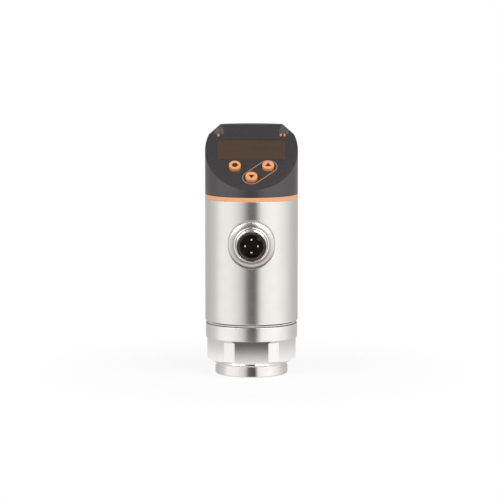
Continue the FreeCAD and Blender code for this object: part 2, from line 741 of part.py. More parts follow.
def make_head_shell():
    outer = make_head_form("head_block", "0", HEAD_LEVEL)
    wall = size("head_wall")
    soften(outer, "Chamfer", "head_rim", is_back_rim, "Size", size("head_edge"))

    spigot = new_sketch(outer, "spigot_plan", "XY_Plane", HEAD_LEVEL)
    draw_circle(spigot, SPIGOT_RADIUS)
    extrude(outer, "Pad", "spigot_pad", spigot, size("head_spigot_length"), backwards=True)
    groove = new_sketch(outer, "head_groove_profile", "XZ_Plane")
    groove_floor = minus(SPIGOT_RADIUS, size("head_seal_depth"))
    groove_top = minus(HOUSING_TOP, size("accent_spigot"))
    draw_outline(groove, rectangle(groove_floor, total(SPIGOT_RADIUS, size("accent_play")),
                                   minus(groove_top, size("head_seal_height")), groove_top))
    turn(outer, "Groove", "head_groove", groove)

    play = size("window_play")
    side, foot, top = total(WINDOW_SIDE, play), minus(WINDOW_FOOT, play), total(WINDOW_TOP, play)
    recess = lean(new_sketch(outer, "recess_outline", "XY_Plane"))
    draw_outline(recess, rectangle(negative(side), side, foot, top))
    extrude(outer, "Pocket", "window_recess", recess, size("window_thickness"))
    soften(outer, "Fillet", "recess_fillet", window_edges, "Radius", size("window_rounding"))
    opening = lean(new_sketch(outer, "opening_outline", "XY_Plane"))
    margin = size("display_margin")
    width = minus(side, margin)
    draw_outline(opening, rectangle(negative(width), width, total(foot, margin), minus(top, margin)))
    extrude(outer, "Pocket", "display_opening", opening, total(size("window_thickness"), wall))

    holes = lean(new_sketch(outer, "button_holes_outline", "XY_Plane"))
    for x, along in button_places().values():
        draw_circle(holes, total(size("button_radius"), size("button_play")), x, along)
    extrude(outer, "Pocket", "button_holes", holes, total(wall, CUT_MARGIN))

    floor_level = total(HEAD_LEVEL, size("head_floor"))
    cavity = make_head_form("head_cavity", wall, floor_level)
    throat = new_sketch(cavity, "throat_plan", "XY_Plane", floor_level)
    draw_circle(throat, THROAT_RADIUS)
    depth = total(size("head_spigot_length"), size("head_floor"), CUT_MARGIN)
    extrude(cavity, "Pad", "throat_pad", throat, depth, backwards=True)
    posts = lean(new_sketch(cavity, "posts_outline", "XY_Plane"), wall)
    for side in (POST_SIDE, negative(POST_SIDE)):
        draw_circle(posts, size("post_radius"), side, POST_PLACE)
    extrude(cavity, "Pocket", "posts", posts, minus(BOARD_DEPTH, wall))
    hollow = cut("head_hollow", outer, cavity)

    tools = [screw_form(f"post_hole_{side}", sign) for side, sign in (("right", 1), ("left", -1))]
    tools += [lens_block(f"lens_notch_{side}", sign) for side, sign in (("right", 1), ("left", -1))]
    notches = doc.addObject("Part::MultiFuse", "head_notches")
    notches.Shapes = tools
    return keep(cut("head_shell", hollow, notches))


def screw_form(name, sign):
    """The shank of a board screw, which also makes its hole in the post."""
    shank = cylinder(name, size("screw_radius"), total(size("screw_length"), size("display_board_thickness")))
    return on_face(shank, f"({sign} * {POST_SIDE})", POST_PLACE, negative(BOARD_BACK))


def lens_block(name, sign):
    """The upright block in a top corner that a status lens fills."""
    width, depth = size("lens_width"), total(size("lens_front"), size("lens_back"))
    block = box(name, width, depth, size("head_height"))
    inner = minus(LED_SIDE, size("lens_lap"))
    left = inner if sign > 0 else negative(total(inner, width))
    led_top = minus(size("led_height"), BOARD_DEPTH)
    led_up = total(LED_PLACE, half(size("led_width")))
    led_level = f"({FACE_LEVEL} + {led_up} * {FACE_SIN} + {led_top} * {FACE_COS})"
    return place(block, left, minus(TOP_FRONT, size("lens_front")), total(led_level, size("led_gap")))


def make_status_lights():
    for side, sign in (("left", -1), ("right", 1)):
        form = make_head_form(f"lens_form_{side}", "0", HEAD_LEVEL)
        soften(form, "Chamfer", f"lens_rim_{side}", is_back_rim, "Size", size("head_edge"))
        lens = doc.addObject("Part::Common", f"status_lens_{side}")
        lens.Label = f"status_lens_{side}"
        lens.Base = form
        lens.Tool = lens_block(f"lens_block_{side}", sign)
        keep(lens)
    lights = []
    width = size("led_width")
    for side in (LED_SIDE, negative(LED_SIDE)):
        light = box(f"led_{len(lights) + 1}", width, width, size("led_height"))
        corner_x, corner_along = minus(side, half(width)), minus(LED_PLACE, half(width))
        lights.append(on_face(light, corner_x, corner_along, negative(BOARD_DEPTH)))
    group("status_leds", lights)


def make_display():
    window = new_body("display_window")
    outline = new_sketch(window, "window_outline", "XY_Plane", negative(size("window_thickness")))
    draw_outline(outline, rectangle(negative(WINDOW_SIDE), WINDOW_SIDE, WINDOW_FOOT, WINDOW_TOP))
    extrude(window, "Pad", "window_pad", outline, size("window_thickness"))
    soften(window, "Fillet", "window_fillet", lambda edge: edge.BoundBox.ZLength > TOLERANCE, "Radius",
           size("window_rounding"))
    on_face(keep(window))

    margin = total(size("display_margin"), size("window_play"))
    width = minus(WINDOW_SIDE, margin)
    module = new_body("display_module")
    outline = new_sketch(module, "module_outline", "XY_Plane", negative(BOARD_DEPTH))
    draw_outline(outline, rectangle(negative(width), width, total(WINDOW_FOOT, margin),
                                    minus(WINDOW_TOP, margin)))
    extrude(module, "Pad", "module_pad", outline, size("display_depth"))
    on_face(keep(module))

    board = new_body("display_board")
    thickness = size("display_board_thickness")
    outline = new_sketch(board, "board_outline", "XY_Plane", negative(BOARD_BACK))
    corner = size("display_board_corner")
    foot, step = minus(BOARD_SIDE, corner), total(BOARD_BOTTOM, corner)
    draw_outline(outline, [(BOARD_SIDE, BOARD_TOP), (negative(BOARD_SIDE), BOARD_TOP),
                           (negative(BOARD_SIDE), step), (negative(foot), BOARD_BOTTOM),
                           (foot, BOARD_BOTTOM), (BOARD_SIDE, step)])
    for post in (POST_SIDE, negative(POST_SIDE)):
        draw_circle(outline, size("screw_radius"), post, POST_PLACE)
    extrude(board, "Pad", "board_pad", outline, thickness)
    on_face(keep(board))

    screws = []
    for name, sign in (("right", 1), ("left", -1)):
        shank = screw_form(f"screw_shank_{name}", sign)
        head = cylinder(f"screw_head_{name}", size("screw_head_radius"), size("screw_head_height"))
        depth = negative(total(BOARD_BACK, size("screw_head_height")))
        on_face(head, f"({sign} * {POST_SIDE})", POST_PLACE, depth)
        screw = doc.addObject("Part::Fuse", f"board_screw_{name}")
        screw.Base = head
        screw.Tool = shank
        screws.append(screw)
    group("board_screws", screws)


# Buttons: each has a rounded cap, a stem through the wall and a flange that keeps it in.
def make_buttons():
    wall, radius, rise = size("head_wall"), size("button_radius"), size("button_rise")
    flange = total(radius, size("button_flange"))
    flange_top = negative(total(wall, size("button_play")))
    flange_low = minus(flange_top, size("button_flange_height"))
    for name, (x, along) in button_places().items():
        body = new_body(f"button_{name}")
        profile = new_sketch(body, f"{name}_profile", "XZ_Plane")
        dome = rounded_corner(radius, rise, size("button_rounding"), minus)
        draw_outline(profile, [("0", rise)] + dome + [(radius, flange_top), (flange, flange_top),
                                                      (flange, flange_low), ("0", flange_low)])
        turn(body, "Revolution", f"{name}_turned", profile)
        recess = new_sketch(body, f"{name}_recess_outline", "XY_Plane", rise)
        draw_symbol(recess, name)
        extrude(body, "Pocket", f"{name}_recess", recess, size("symbol_depth"))
        on_face(keep(body), x, along)

        symbol = new_body(f"symbol_{name}")
        sketch = new_sketch(symbol, f"symbol_{name}_outline", "XY_Plane", minus(rise, size("symbol_depth")))
        draw_symbol(sketch, name)
        extrude(symbol, "Pad", f"symbol_{name}_pad", sketch, total(size("symbol_depth"), size("symbol_rise")))
        on_face(keep(symbol), x, along)

    switches = []
    width = size("switch_width")
    height = minus(total(BOARD_DEPTH, flange_low), size("button_travel"), size("button_play"))
    for x, along in button_places().values():
        switch = box(f"key_switch_{len(switches) + 1}", width, width, height)
        corner_x, corner_along = minus(x, half(width)), minus(along, half(width))
        switches.append(on_face(switch, corner_x, corner_along, negative(BOARD_DEPTH)))
    group("key_switches", switches)


def draw_symbol(sketch, name):
    """A disc, or a triangle that points up or down."""
    if name == "mode":
        return draw_circle(sketch, size("symbol_radius"))
    tip_angle = 90 if name == "up" else -90
    return draw_outline(sketch, polygon(3, size("symbol_radius"), tip_angle))


# Carrier: a skirt that stands on the housing's collar, a plate and two slotted rails for the main board.
def make_main_board():
    carrier = new_body("board_carrier")
    radius = minus(HOUSING_BORE, size("carrier_play"))
    bore = total(RING_RADIUS, size("carrier_ring_play"))
    hole = size("carrier_hole")
    skirt_top = total(NECK_TOP, size("carrier_neck_play"))
    plate_top = total(skirt_top, size("carrier_plate"))
    profile = new_sketch(carrier, "carrier_profile", "XZ_Plane")
    draw_outline(profile, [(bore, COLLAR_TOP), (radius, COLLAR_TOP), (radius, plate_top), (hole, plate_top),
                           (hole, skirt_top), (bore, skirt_top)])
    turn(carrier, "Revolution", "carrier_turned", profile)
    side, middle = minus(THROAT_RADIUS, size("main_board_inset")), size("main_board_place")
    inner = minus(side, size("slot_depth"))
    outer = total(inner, size("rail_width"))
    low, high = minus(middle, half(size("rail_depth"))), total(middle, half(size("rail_depth")))
    rails = new_sketch(carrier, "rails_plan", "XY_Plane", plate_top)
    draw_outline(rails, rectangle(inner, outer, low, high))
    draw_outline(rails, rectangle(negative(outer), negative(inner), low, high))
    extrude(carrier, "Pad", "rails", rails, size("rail_height"))
    play = size("slot_play")
    half_slot = total(half(size("board_thickness")), play)
    slot_side = total(side, play)
    slots = new_sketch(carrier, "slots_plan", "XY_Plane", plate_top)
    draw_outline(slots, rectangle(negative(slot_side), slot_side, minus(middle, half_slot),
                                  total(middle, half_slot)))
    extrude(carrier, "Pocket", "slots", slots, size("rail_height"), backwards=True)
    keep(carrier)

    thickness = size("board_thickness")
    board = box("main_board", f"(2 * {side})", thickness, size("main_board_height"))
    front = minus(middle, half(thickness))
    keep(place(board, negative(side), front, plate_top))
    make_ribbon(front, total(plate_top, size("main_board_height")))


def make_ribbon(front, board_top):
    """A flat ribbon, soldered to the main board's front and to the display board's underside."""
    thickness, lap = size("ribbon_thickness"), size("ribbon_lap")
    rear = minus(front, thickness)
    end = minus(rear, lap)

    def underside(across, below="0"):
        """The level of the display board's underside, or of a plane below it, at a place across y."""
        return f"({FACE_LEVEL} + ({across}) * tan({FACE_ANGLE}) - {total(BOARD_BACK, below)} / {FACE_COS})"

    ribbon = new_body("ribbon_cable")
    strip = new_sketch(ribbon, "ribbon_profile", "YZ_Plane")
    draw_outline(strip, [(rear, minus(board_top, lap)), (front, minus(board_top, lap)),
                         (front, underside(front)), (end, underside(end)), (end, underside(end, thickness)),
                         (rear, underside(rear, thickness))])
    extrude(ribbon, "Pad", "ribbon_pad", strip, size("ribbon_width"), midplane=True)
    keep(ribbon)


def check_document():
    """Every object is computed without error and every sub-part is one valid shape."""
    for item in doc.Objects:
        states = {"Invalid", "Error"} & set(item.State)
        if states:
            raise RuntimeError(f"{item.Name} is {', '.join(sorted(states))}")
    for part in subparts:
        if part.Shape.isNull() or not part.Shape.isValid() or not part.Shape.Solids:
            raise RuntimeError(f"{part.Label} has no valid solid")


make_process_body()
make_turning_joint()
make_measuring_cell()
make_housing()
make_connector()
make_accent_ring()
make_head_shell()
make_status_lights()
make_display()
make_buttons()
make_main_board()
doc.recompute()
check_document()
for part in subparts:
    part.Shape.exportStep(f"parts/{part.Label}.step")
    print(f"{part.Label}: {part.Shape.Volume:.1f} mm3 in {len(part.Shape.Solids)} solids")
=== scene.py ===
import math

import bmesh
import bpy
from mathutils import Matrix, Vector


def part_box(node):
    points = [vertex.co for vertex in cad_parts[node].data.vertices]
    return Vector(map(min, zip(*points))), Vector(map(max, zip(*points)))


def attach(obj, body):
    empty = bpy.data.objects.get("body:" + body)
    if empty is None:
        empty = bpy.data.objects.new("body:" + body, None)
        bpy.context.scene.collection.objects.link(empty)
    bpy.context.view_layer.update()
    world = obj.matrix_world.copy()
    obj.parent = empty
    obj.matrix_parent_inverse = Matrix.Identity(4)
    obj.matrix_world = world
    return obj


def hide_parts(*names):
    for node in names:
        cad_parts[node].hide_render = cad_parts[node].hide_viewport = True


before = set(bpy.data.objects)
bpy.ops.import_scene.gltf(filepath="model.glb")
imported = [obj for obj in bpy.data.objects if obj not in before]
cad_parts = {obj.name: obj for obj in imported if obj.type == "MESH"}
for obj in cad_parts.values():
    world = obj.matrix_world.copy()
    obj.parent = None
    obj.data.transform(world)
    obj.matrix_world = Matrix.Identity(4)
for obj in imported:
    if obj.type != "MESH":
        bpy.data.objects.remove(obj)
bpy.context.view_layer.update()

MM = 0.001
TURN = 2 * math.pi
# Columns of most turned surfaces.
COLUMNS = 192
MERGE_DISTANCE = 1e-7
SMOOTH_ANGLE = math.radians(30)
UPRIGHT = Matrix.Identity(4)


# Places and sizes, read from the frame where a node gives them.

housing_low, housing_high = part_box("housing")
RADIUS = housing_high.x
TUBE_LOW, TUBE_TOP = housing_low.z, housing_high.z
HEAD_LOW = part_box("accent_ring")[1].z
HEAD_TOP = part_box("head_shell")[1].z
BAND_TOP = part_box("bearing_ring")[0].z

# The sloping face rises from the lip to the front edge of the flat top.
HEAD_LIP = 2.8 * MM
TOP_FRONT = 0.639 * RADIUS
TOP_SIDE = 0.6722 * RADIUS
BEVEL_ANGLE = math.radians(38.8)
FACE_ANGLE = math.atan2(HEAD_TOP - HEAD_LOW - HEAD_LIP, RADIUS + TOP_FRONT)
FACE_LEVEL = HEAD_LOW + HEAD_LIP + math.tan(FACE_ANGLE) * RADIUS
# The face's own frame has x to the right, y up the slope and z out of the face.
FACE = Matrix.Translation((0, 0, FACE_LEVEL)) @ Matrix.Rotation(FACE_ANGLE, 4, "X")

# The plug's own frame has z along its axis, towards the front.
plug_low, plug_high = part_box("connector_shell")
PLUG_LEVEL = (plug_low.z + plug_high.z) / 2
PLUG = Matrix.Translation((0, 0, PLUG_LEVEL)) @ Matrix.Rotation(math.pi / 2, 4, "X")
PLUG_MOUTH = -plug_low.y


def span_in(matrix, node):
    """Lowest and highest corner of a CAD node in the frame that matrix gives."""
    back = matrix.inverted()
    points = [back @ vertex.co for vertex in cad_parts[node].data.vertices]
    return [Vector([pick(point[i] for point in points) for i in range(3)]) for pick in (min, max)]


# Mesh tools.

def rounded(corners, steps=6):
    """A profile of (radius, height) pairs from corners of (radius, height, rounding)."""
    result = []
    for i, (x, y, rounding) in enumerate(corners):
        if not rounding:
            result.append((x, y))
            continue
        here = Vector((x, y))
        before = (Vector(corners[i - 1][:2]) - here).normalized()
        after = (Vector(corners[i + 1][:2]) - here).normalized()
        half = before.angle(after) / 2
        centre = here + (before + after).normalized() * rounding / math.sin(half)
        reach = rounding / math.tan(half)
        first = here + before * reach - centre
        last = here + after * reach - centre
        start = math.atan2(first.y, first.x)
        sweep = (math.atan2(last.y, last.x) - start + math.pi) % TURN - math.pi
        for k in range(steps + 1):
            angle = start + sweep * k / steps
            result.append((centre.x + rounding * math.cos(angle), centre.y + rounding * math.sin(angle)))
    return result


def join_rings(mesh, lower, upper):
    """Faces between two closed rings of vertices; a ring of one vertex is a pole."""
    count = max(len(lower), len(upper))
    for i in range(count):
        j = (i + 1) % count
        corners = [lower[i % len(lower)], lower[j % len(lower)], upper[j % len(upper)], upper[i % len(upper)]]
        unique = list(dict.fromkeys(corners))
        if len(unique) > 2:
            mesh.faces.new(unique)


def skin(mesh, rings):
    """Faces between each ring and the next one."""
    for lower, upper in zip(rings, rings[1:]):
        join_rings(mesh, lower, upper)


def around(radius, angle, level):
    """A point at this radius and level; the angle starts at the front and turns towards the right."""
    return Vector((radius * math.sin(angle), -radius * math.cos(angle), level))


def ring(mesh, radius, level, columns, matrix):
    """A ring of vertices about the matrix's z axis, or one vertex where the radius is zero."""
    if radius < MERGE_DISTANCE:
        return [mesh.verts.new(matrix @ Vector((0, 0, level)))]
    angles = [TURN * i / columns for i in range(columns)]
    return [mesh.verts.new(matrix @ around(radius, angle, level)) for angle in angles]


def lathe(mesh, profile, columns=COLUMNS, matrix=UPRIGHT, closed=False):
    """Turns a profile about the matrix's z axis; a closed one joins its end to its start."""
    rings = [ring(mesh, radius, level, columns, matrix) for radius, level in profile]
    skin(mesh, rings + rings[:1] if closed else rings)


def prism(mesh, outline, low, high, matrix):
    """A closed prism over an outline of (x, y) pairs, from low to high along the matrix's z."""
    foot = [mesh.verts.new(matrix @ Vector((x, y, low))) for x, y in outline]
    top = [mesh.verts.new(matrix @ Vector((x, y, high))) for x, y in outline]
    join_rings(mesh, foot, top)
    mesh.faces.new(foot)
    mesh.faces.new(top)


def arc(x, y, radius, start, end, steps):
    """Points on an arc, with its angles in degrees."""
    angles = [math.radians(start + (end - start) * k / steps) for k in range(steps + 1)]
    return [(x + radius * math.cos(angle), y + radius * math.sin(angle)) for angle in angles]


def rounded_rectangle(x_low, x_high, y_low, y_high, rounding, steps=8):
    """The outline of a rectangle with round corners."""
    return (arc(x_high - rounding, y_high - rounding, rounding, 0, 90, steps)
            + arc(x_low + rounding, y_high - rounding, rounding, 90, 180, steps)
            + arc(x_low + rounding, y_low + rounding, rounding, 180, 270, steps)
            + arc(x_high - rounding, y_low + rounding, rounding, 270, 360, steps))


def bevel_sharp(mesh, width, angle=50, segments=3):
    """Rounds every edge that is sharper than the angle in degrees."""
    mesh.normal_update()
    limit = math.radians(angle)
    sharp = [edge for edge in mesh.edges if edge.is_manifold and edge.calc_face_angle(0) > limit]
    bmesh.ops.bevel(mesh, geom=sharp, offset=width, segments=segments, profile=0.5, affect="EDGES",
                    clamp_overlap=True)


def add_mesh(mesh, other):
    """Moves everything of the other bmesh into this one."""
    data = bpy.data.meshes.new("part")
    other.to_mesh(data)
    other.free()
    mesh.from_mesh(data)
    bpy.data.meshes.remove(data)


def make_object(name, mesh, smooth_angle=SMOOTH_ANGLE):
    """Turns a bmesh into an object, smooth up to the angle."""
    bmesh.ops.remove_doubles(mesh, verts=mesh.verts, dist=MERGE_DISTANCE)
    bmesh.ops.recalc_face_normals(mesh, faces=mesh.faces)
    data = bpy.data.meshes.new(name)
    mesh.to_mesh(data)
    mesh.free()
    data.shade_smooth()
    data.set_sharp_from_angle(angle=smooth_angle)
    made = bpy.data.objects.new(name, data)
    bpy.context.scene.collection.objects.link(made)
    return made


def cut_out(target, tool):
    """Cuts the tool's form out of the target and removes the tool."""
    modifier = target.modifiers.new("cut_out", "BOOLEAN")
    modifier.operation, modifier.object, modifier.solver = "DIFFERENCE", tool, "EXACT"
    shape = target.evaluated_get(bpy.context.evaluated_depsgraph_get())
    cut = bpy.data.meshes.new_from_object(shape)
    target.modifiers.clear()
    target.data = cut
    bpy.data.objects.remove(tool)


def dress(piece, body, slot, material, *nodes):
    """Gives a finished piece its material, its body and the CAD nodes that it stands for."""
    piece.data.materials.clear()
    piece.data.materials.append(material)
    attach(piece, body)
    if nodes:
        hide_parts(*nodes)


# Materials.

# Sizes of the fine detail: the grain of plastic, tool marks on metal and its faint stains.
GRAIN = 0.25 * MM
CLOUD_OF_GRAIN = 1.5 * MM
TOOL_MARK = 0.12 * MM
STAIN = 5 * MM
STAIN_SHARE = 0.02
# How far tool marks are drawn out: round the axis on turned metal, or not at all.
ROUND_MARKS = (12, 12, 1)
PLAIN_MARKS = (1, 1, 1)
# Most values of a noise lie in this range.
NOISE_RANGE = 0.3, 0.7
# Roughness varies by this share to both sides.
SMOOTHER, ROUGHER = 0.85, 1.15


class Finish:
    """A node material under construction: one Principled shader with procedural detail."""

    def __init__(self, name, roughness, metallic=0.0, specular=0.5, coat=0.0):
        self.material = bpy.data.materials.new(name)
        self.material.use_nodes = True
        self.tree = self.material.node_tree
        self.shader = self.tree.nodes["Principled BSDF"]
        self.shader.inputs["Roughness"].default_value = roughness
        self.shader.inputs["Metallic"].default_value = metallic
        self.shader.inputs["Specular IOR Level"].default_value = specular
        self.shader.inputs["Coat Weight"].default_value = coat
        self.coordinates = self.node("ShaderNodeTexCoord").outputs["Object"]

    def node(self, kind, **values):
        """A new node with these properties set."""
        made = self.tree.nodes.new(kind)
        for key, value in values.items():
            setattr(made, key, value)
        return made

    def link(self, output, socket):
        """Joins a node's output to a socket."""
        self.tree.links.new(output, socket)

    def noise(self, size, stretch=(1, 1, 1), detail=3.0):
        """Noise with features of about this size in metres, drawn out by stretch."""
        mapping = self.node("ShaderNodeMapping")
        mapping.inputs["Scale"].default_value = [1 / (size * s) for s in stretch]
        self.link(self.coordinates, mapping.inputs["Vector"])
        noise = self.node("ShaderNodeTexNoise")
        noise.inputs["Scale"].default_value = 1.0
        noise.inputs["Detail"].default_value = detail
        self.link(mapping.outputs["Vector"], noise.inputs["Vector"])
        return noise.outputs["Fac"]

    def ramp(self, factor, stops):
        """A colour ramp through (position, colour) stops."""
        ramp = self.node("ShaderNodeValToRGB")
        elements = ramp.color_ramp.elements
        while len(elements) < len(stops):
            elements.new(0.5)
        for element, (position, colour) in zip(elements, stops):
            element.position = position
            element.color = (*colour, 1)
        self.link(factor, ramp.inputs["Fac"])
        return ramp.outputs["Color"]

    def mottle(self, factor, colour, share):
        """A base colour that varies by a share to both sides."""
        dark = [c * (1 - share) for c in colour]
        light = [min(1.0, c * (1 + share)) for c in colour]
        stops = list(zip(NOISE_RANGE, (dark, light)))
        self.link(self.ramp(factor, stops), self.shader.inputs["Base Color"])

    def math(self, operation, first, second=0.0):
        """A maths node; each input is an output of another node or a plain number."""
        made = self.node("ShaderNodeMath", operation=operation)
        for socket, value in zip(made.inputs, (first, second)):
            if isinstance(value, (int, float)):
                socket.default_value = value
            else:
                self.link(value, socket)
        return made.outputs[0]

    def spread(self, value, start, end, low, high, smooth=False):
        """Maps the value from start..end to low..high."""
        made = self.node("ShaderNodeMapRange", interpolation_type="SMOOTHSTEP" if smooth else "LINEAR")
        made.inputs["From Min"].default_value = start
        made.inputs["From Max"].default_value = end
        made.inputs["To Min"].default_value = low
        made.inputs["To Max"].default_value = high
        self.link(value, made.inputs["Value"])
        return made.outputs["Result"]

    def vary_roughness(self, factor, low, high):
        """Roughness that follows the noise from low to high."""
        self.link(self.spread(factor, *NOISE_RANGE, low, high), self.shader.inputs["Roughness"])

    def mix(self, factor, first, second):
        """A blend from the first shader to the second one."""
        made = self.node("ShaderNodeMixShader")
        self.link(factor, made.inputs["Fac"])
        self.link(first, made.inputs[1])
        self.link(second, made.inputs[2])
        return made.outputs["Shader"]

    def clear(self):
        """A shader that lets every ray through."""
        return self.node("ShaderNodeBsdfTransparent").outputs["BSDF"]

    def bump(self, factor, height, strength=1.0):
        """Relief of this height in metres."""
        bump = self.node("ShaderNodeBump")
        bump.inputs["Distance"].default_value = height
        bump.inputs["Strength"].default_value = strength
        self.link(factor, bump.inputs["Height"])
        self.link(bump.outputs["Normal"], self.shader.inputs["Normal"])


def plastic(name, colour, roughness=0.4, specular=0.5, relief=0.01 * MM, coat=0.0, share=0.1):
    """Moulded plastic or rubber with a fine grain."""
    made = Finish(name, roughness, specular=specular, coat=coat)
    fine = made.noise(GRAIN)
    made.mottle(made.noise(CLOUD_OF_GRAIN, detail=5), colour, share)
    made.vary_roughness(fine, roughness * SMOOTHER, roughness * ROUGHER)
    made.bump(fine, relief)
    return made.material


def metal(name, colour, roughness, stretch, relief=0.003 * MM):
    """Machined metal whose tool marks are drawn out by stretch."""
    made = Finish(name, roughness, metallic=1.0)
    marks = made.noise(TOOL_MARK, stretch, detail=4)
    made.mottle(made.noise(STAIN, detail=4), colour, STAIN_SHARE)
    made.vary_roughness(marks, roughness * SMOOTHER, roughness * ROUGHER)
    made.bump(marks, relief)
    return made.material


steel = metal("brushed_steel_tube", (0.92, 0.893, 0.855), 0.235, ROUND_MARKS, relief=0.001 * MM)
spring_steel = metal("spring_steel_dark", (0.50, 0.49, 0.48), 0.35, PLAIN_MARKS)
nickel = metal("nickel_satin", (0.90, 0.88, 0.85), 0.2, PLAIN_MARKS, relief=0.001 * MM)
gold = metal("gold_contacts", (0.90, 0.78, 0.55), 0.22, PLAIN_MARKS)
head_plastic = plastic("head_grained", (0.040, 0.035, 0.036), 0.30, specular=1.0, relief=0.006 * MM)
insert_plastic = plastic("insert_black", (0.052, 0.031, 0.026), 0.3, relief=0.004 * MM)
button_plastic = plastic("button_orange", (0.97, 0.38, 0.14), 0.36, coat=0.25, relief=0.004 * MM, share=0.06)
symbol_plastic = plastic("symbol_dark", (0.035, 0.025, 0.022), 0.5)
accent_plastic = plastic("accent_orange", (0.90, 0.44, 0.205), 0.38, coat=0.2, relief=0.004 * MM, share=0.05)
bearing_plastic = plastic("bearing_grey", (0.85, 0.83, 0.80), 0.3)
carrier_plastic = plastic("carrier_grey", (0.12, 0.12, 0.125), 0.5)
rubber = plastic("seal_rubber", (0.03, 0.03, 0.03), 0.6, specular=0.3)
ceramic = plastic("cell_ceramic", (0.82, 0.80, 0.75), 0.3)
module_plastic = plastic("display_black", (0.02, 0.02, 0.022), 0.15)
amber_light = plastic("amber_spot", (0.86, 0.25, 0.06), 0.3, coat=0.3, share=0.15)
ribbon_film = plastic("ribbon_film", (0.50, 0.27, 0.07), 0.25)


def window_finish():
    """Tinted glossy window over a dark display, a little uneven in depth."""
    tint, cloud, wave, relief = (0.079, 0.048, 0.031), 4 * MM, 9 * MM, 0.01 * MM
    made = Finish("window_tinted", 0.16, specular=0.45, coat=0.15)
    made.mottle(made.noise(cloud, (3, 1, 1), detail=4), tint, share=0.1)
    made.bump(made.noise(wave, detail=1), relief)
    return made.material


def lens_finish():
    """Grey light guide, streaked along its ribs."""
    tint, streak, relief = (0.108, 0.10, 0.098), 0.35 * MM, 0.02 * MM
    made = Finish("lens_ribbed", 0.32, coat=0.2)
    streaks = made.noise(streak, (1, 14, 14))
    made.mottle(streaks, tint, share=0.35)
    made.vary_roughness(streaks, 0.26, 0.42)
    made.bump(streaks, relief)
    return made.material


def board_finish():
    """Circuit board: green resist over traces that shine through as lighter cells."""
    trace, resist, cell, relief = (0.05, 0.22, 0.10), (0.015, 0.11, 0.045), 1.6 * MM, 0.02 * MM
    made = Finish("board_green", 0.35)
    cells = made.node("ShaderNodeTexVoronoi", feature="DISTANCE_TO_EDGE")
    cells.inputs["Scale"].default_value = 1 / cell
    made.link(made.coordinates, cells.inputs["Vector"])
    distance = cells.outputs["Distance"]
    made.link(made.ramp(distance, [(0.03, trace), (0.08, resist)]), made.shader.inputs["Base Color"])
    made.bump(distance, relief, strength=0.3)
    return made.material


def outline_finish():
    """Pale line that turns orange here and there."""
    pale, orange, patch, relief = (0.30, 0.27, 0.26), (0.55, 0.20, 0.08), 3 * MM, 0.01 * MM
    made = Finish("outline_two_tone", 0.4)
    patches = made.noise(patch, detail=0)
    made.link(made.ramp(patches, [(0.47, pale), (0.53, orange)]), made.shader.inputs["Base Color"])
    made.bump(made.noise(0.3 * MM), relief)
    return made.material


window_plastic = window_finish()
line_plastic = outline_finish()
lens_plastic = lens_finish()
board_resist = board_finish()


# Process body: turned foot, hexagon with turned corners, band.

FOOT_RADIUS = RADIUS - 3.9 * MM
FOOT_TOP = 3.1 * MM
FOOT_CHAMFER = 0.3 * MM
FOOT_ROUNDING = 0.45 * MM
SHOULDER_RADIUS = FOOT_RADIUS - 0.35 * MM
SHOULDER_ROUNDING = 0.1 * MM
CONE_LEVEL = 4.06 * MM
HEX_LEVEL = 6.2 * MM
HEX_REACH = RADIUS - 2.0 * MM
TURNED_RADIUS = HEX_REACH + 1.27 * MM
BAND_CONE_LEVEL = 13.6 * MM
BAND_LEVEL = 14.5 * MM
BAND_RADIUS = RADIUS - 0.2 * MM
BAND_ROUNDING = 0.15 * MM
PORT_RADIUS = 9.0 * MM
PORT_DEPTH = 1.2 * MM
PORT_ROUNDING = 0.2 * MM
NECK_RADIUS = 13.0 * MM
NECK_HEIGHT = 2 * MM
FLAT_COLUMNS = 18
CORNER_COLUMNS = 14
HEX_SIDES = 6
CONE_STEPS = 8
SIDE_STEPS = 4
BODY_COLOUR = (0.98, 0.957, 0.93)
BODY_RELIEF = 0.0008 * MM
BRIGHT_ROUGHNESS, BRUSHED_ROUGHNESS = 0.07, 0.21


def body_finish():
    """Turned steel: bright on the foot and the hexagon, brushed on the band above them."""
    made = Finish("turned_steel_body", BRIGHT_ROUGHNESS, metallic=1.0)
    marks = made.noise(TOOL_MARK, ROUND_MARKS, detail=4)
    made.mottle(made.noise(STAIN, detail=4), BODY_COLOUR, STAIN_SHARE)
    place = made.node("ShaderNodeSeparateXYZ")
    made.link(made.coordinates, place.inputs["Vector"])
    roughness = made.spread(place.outputs["Z"], BAND_CONE_LEVEL, BAND_LEVEL, BRIGHT_ROUGHNESS,
                            BRUSHED_ROUGHNESS)
    uneven = made.spread(marks, *NOISE_RANGE, SMOOTHER, ROUGHER)
    made.link(made.math("MULTIPLY", roughness, uneven), made.shader.inputs["Roughness"])
    made.bump(marks, BODY_RELIEF)
    return made.material


def hex_row(mesh, radius, level):
    """A ring of vertices on the turned form or on the six flats, whichever is inside."""
    flat_half = math.acos(HEX_REACH / radius) if radius > HEX_REACH else 0.0
    edge = HEX_REACH * math.tan(flat_half)
    gap = TURN / HEX_SIDES - 2 * flat_half
    points = []
    for side in range(HEX_SIDES):
        middle = TURN * side / HEX_SIDES
        for i in range(FLAT_COLUMNS):
            angle = middle + math.atan2(edge * (2 * i / FLAT_COLUMNS - 1), HEX_REACH)
            reach = HEX_REACH / math.cos(angle - middle) if flat_half else radius
            points.append((reach, angle))
        for i in range(CORNER_COLUMNS):
            points.append((radius, middle + flat_half + gap * i / CORNER_COLUMNS))
    return [mesh.verts.new(around(reach, angle, level)) for reach, angle in points]


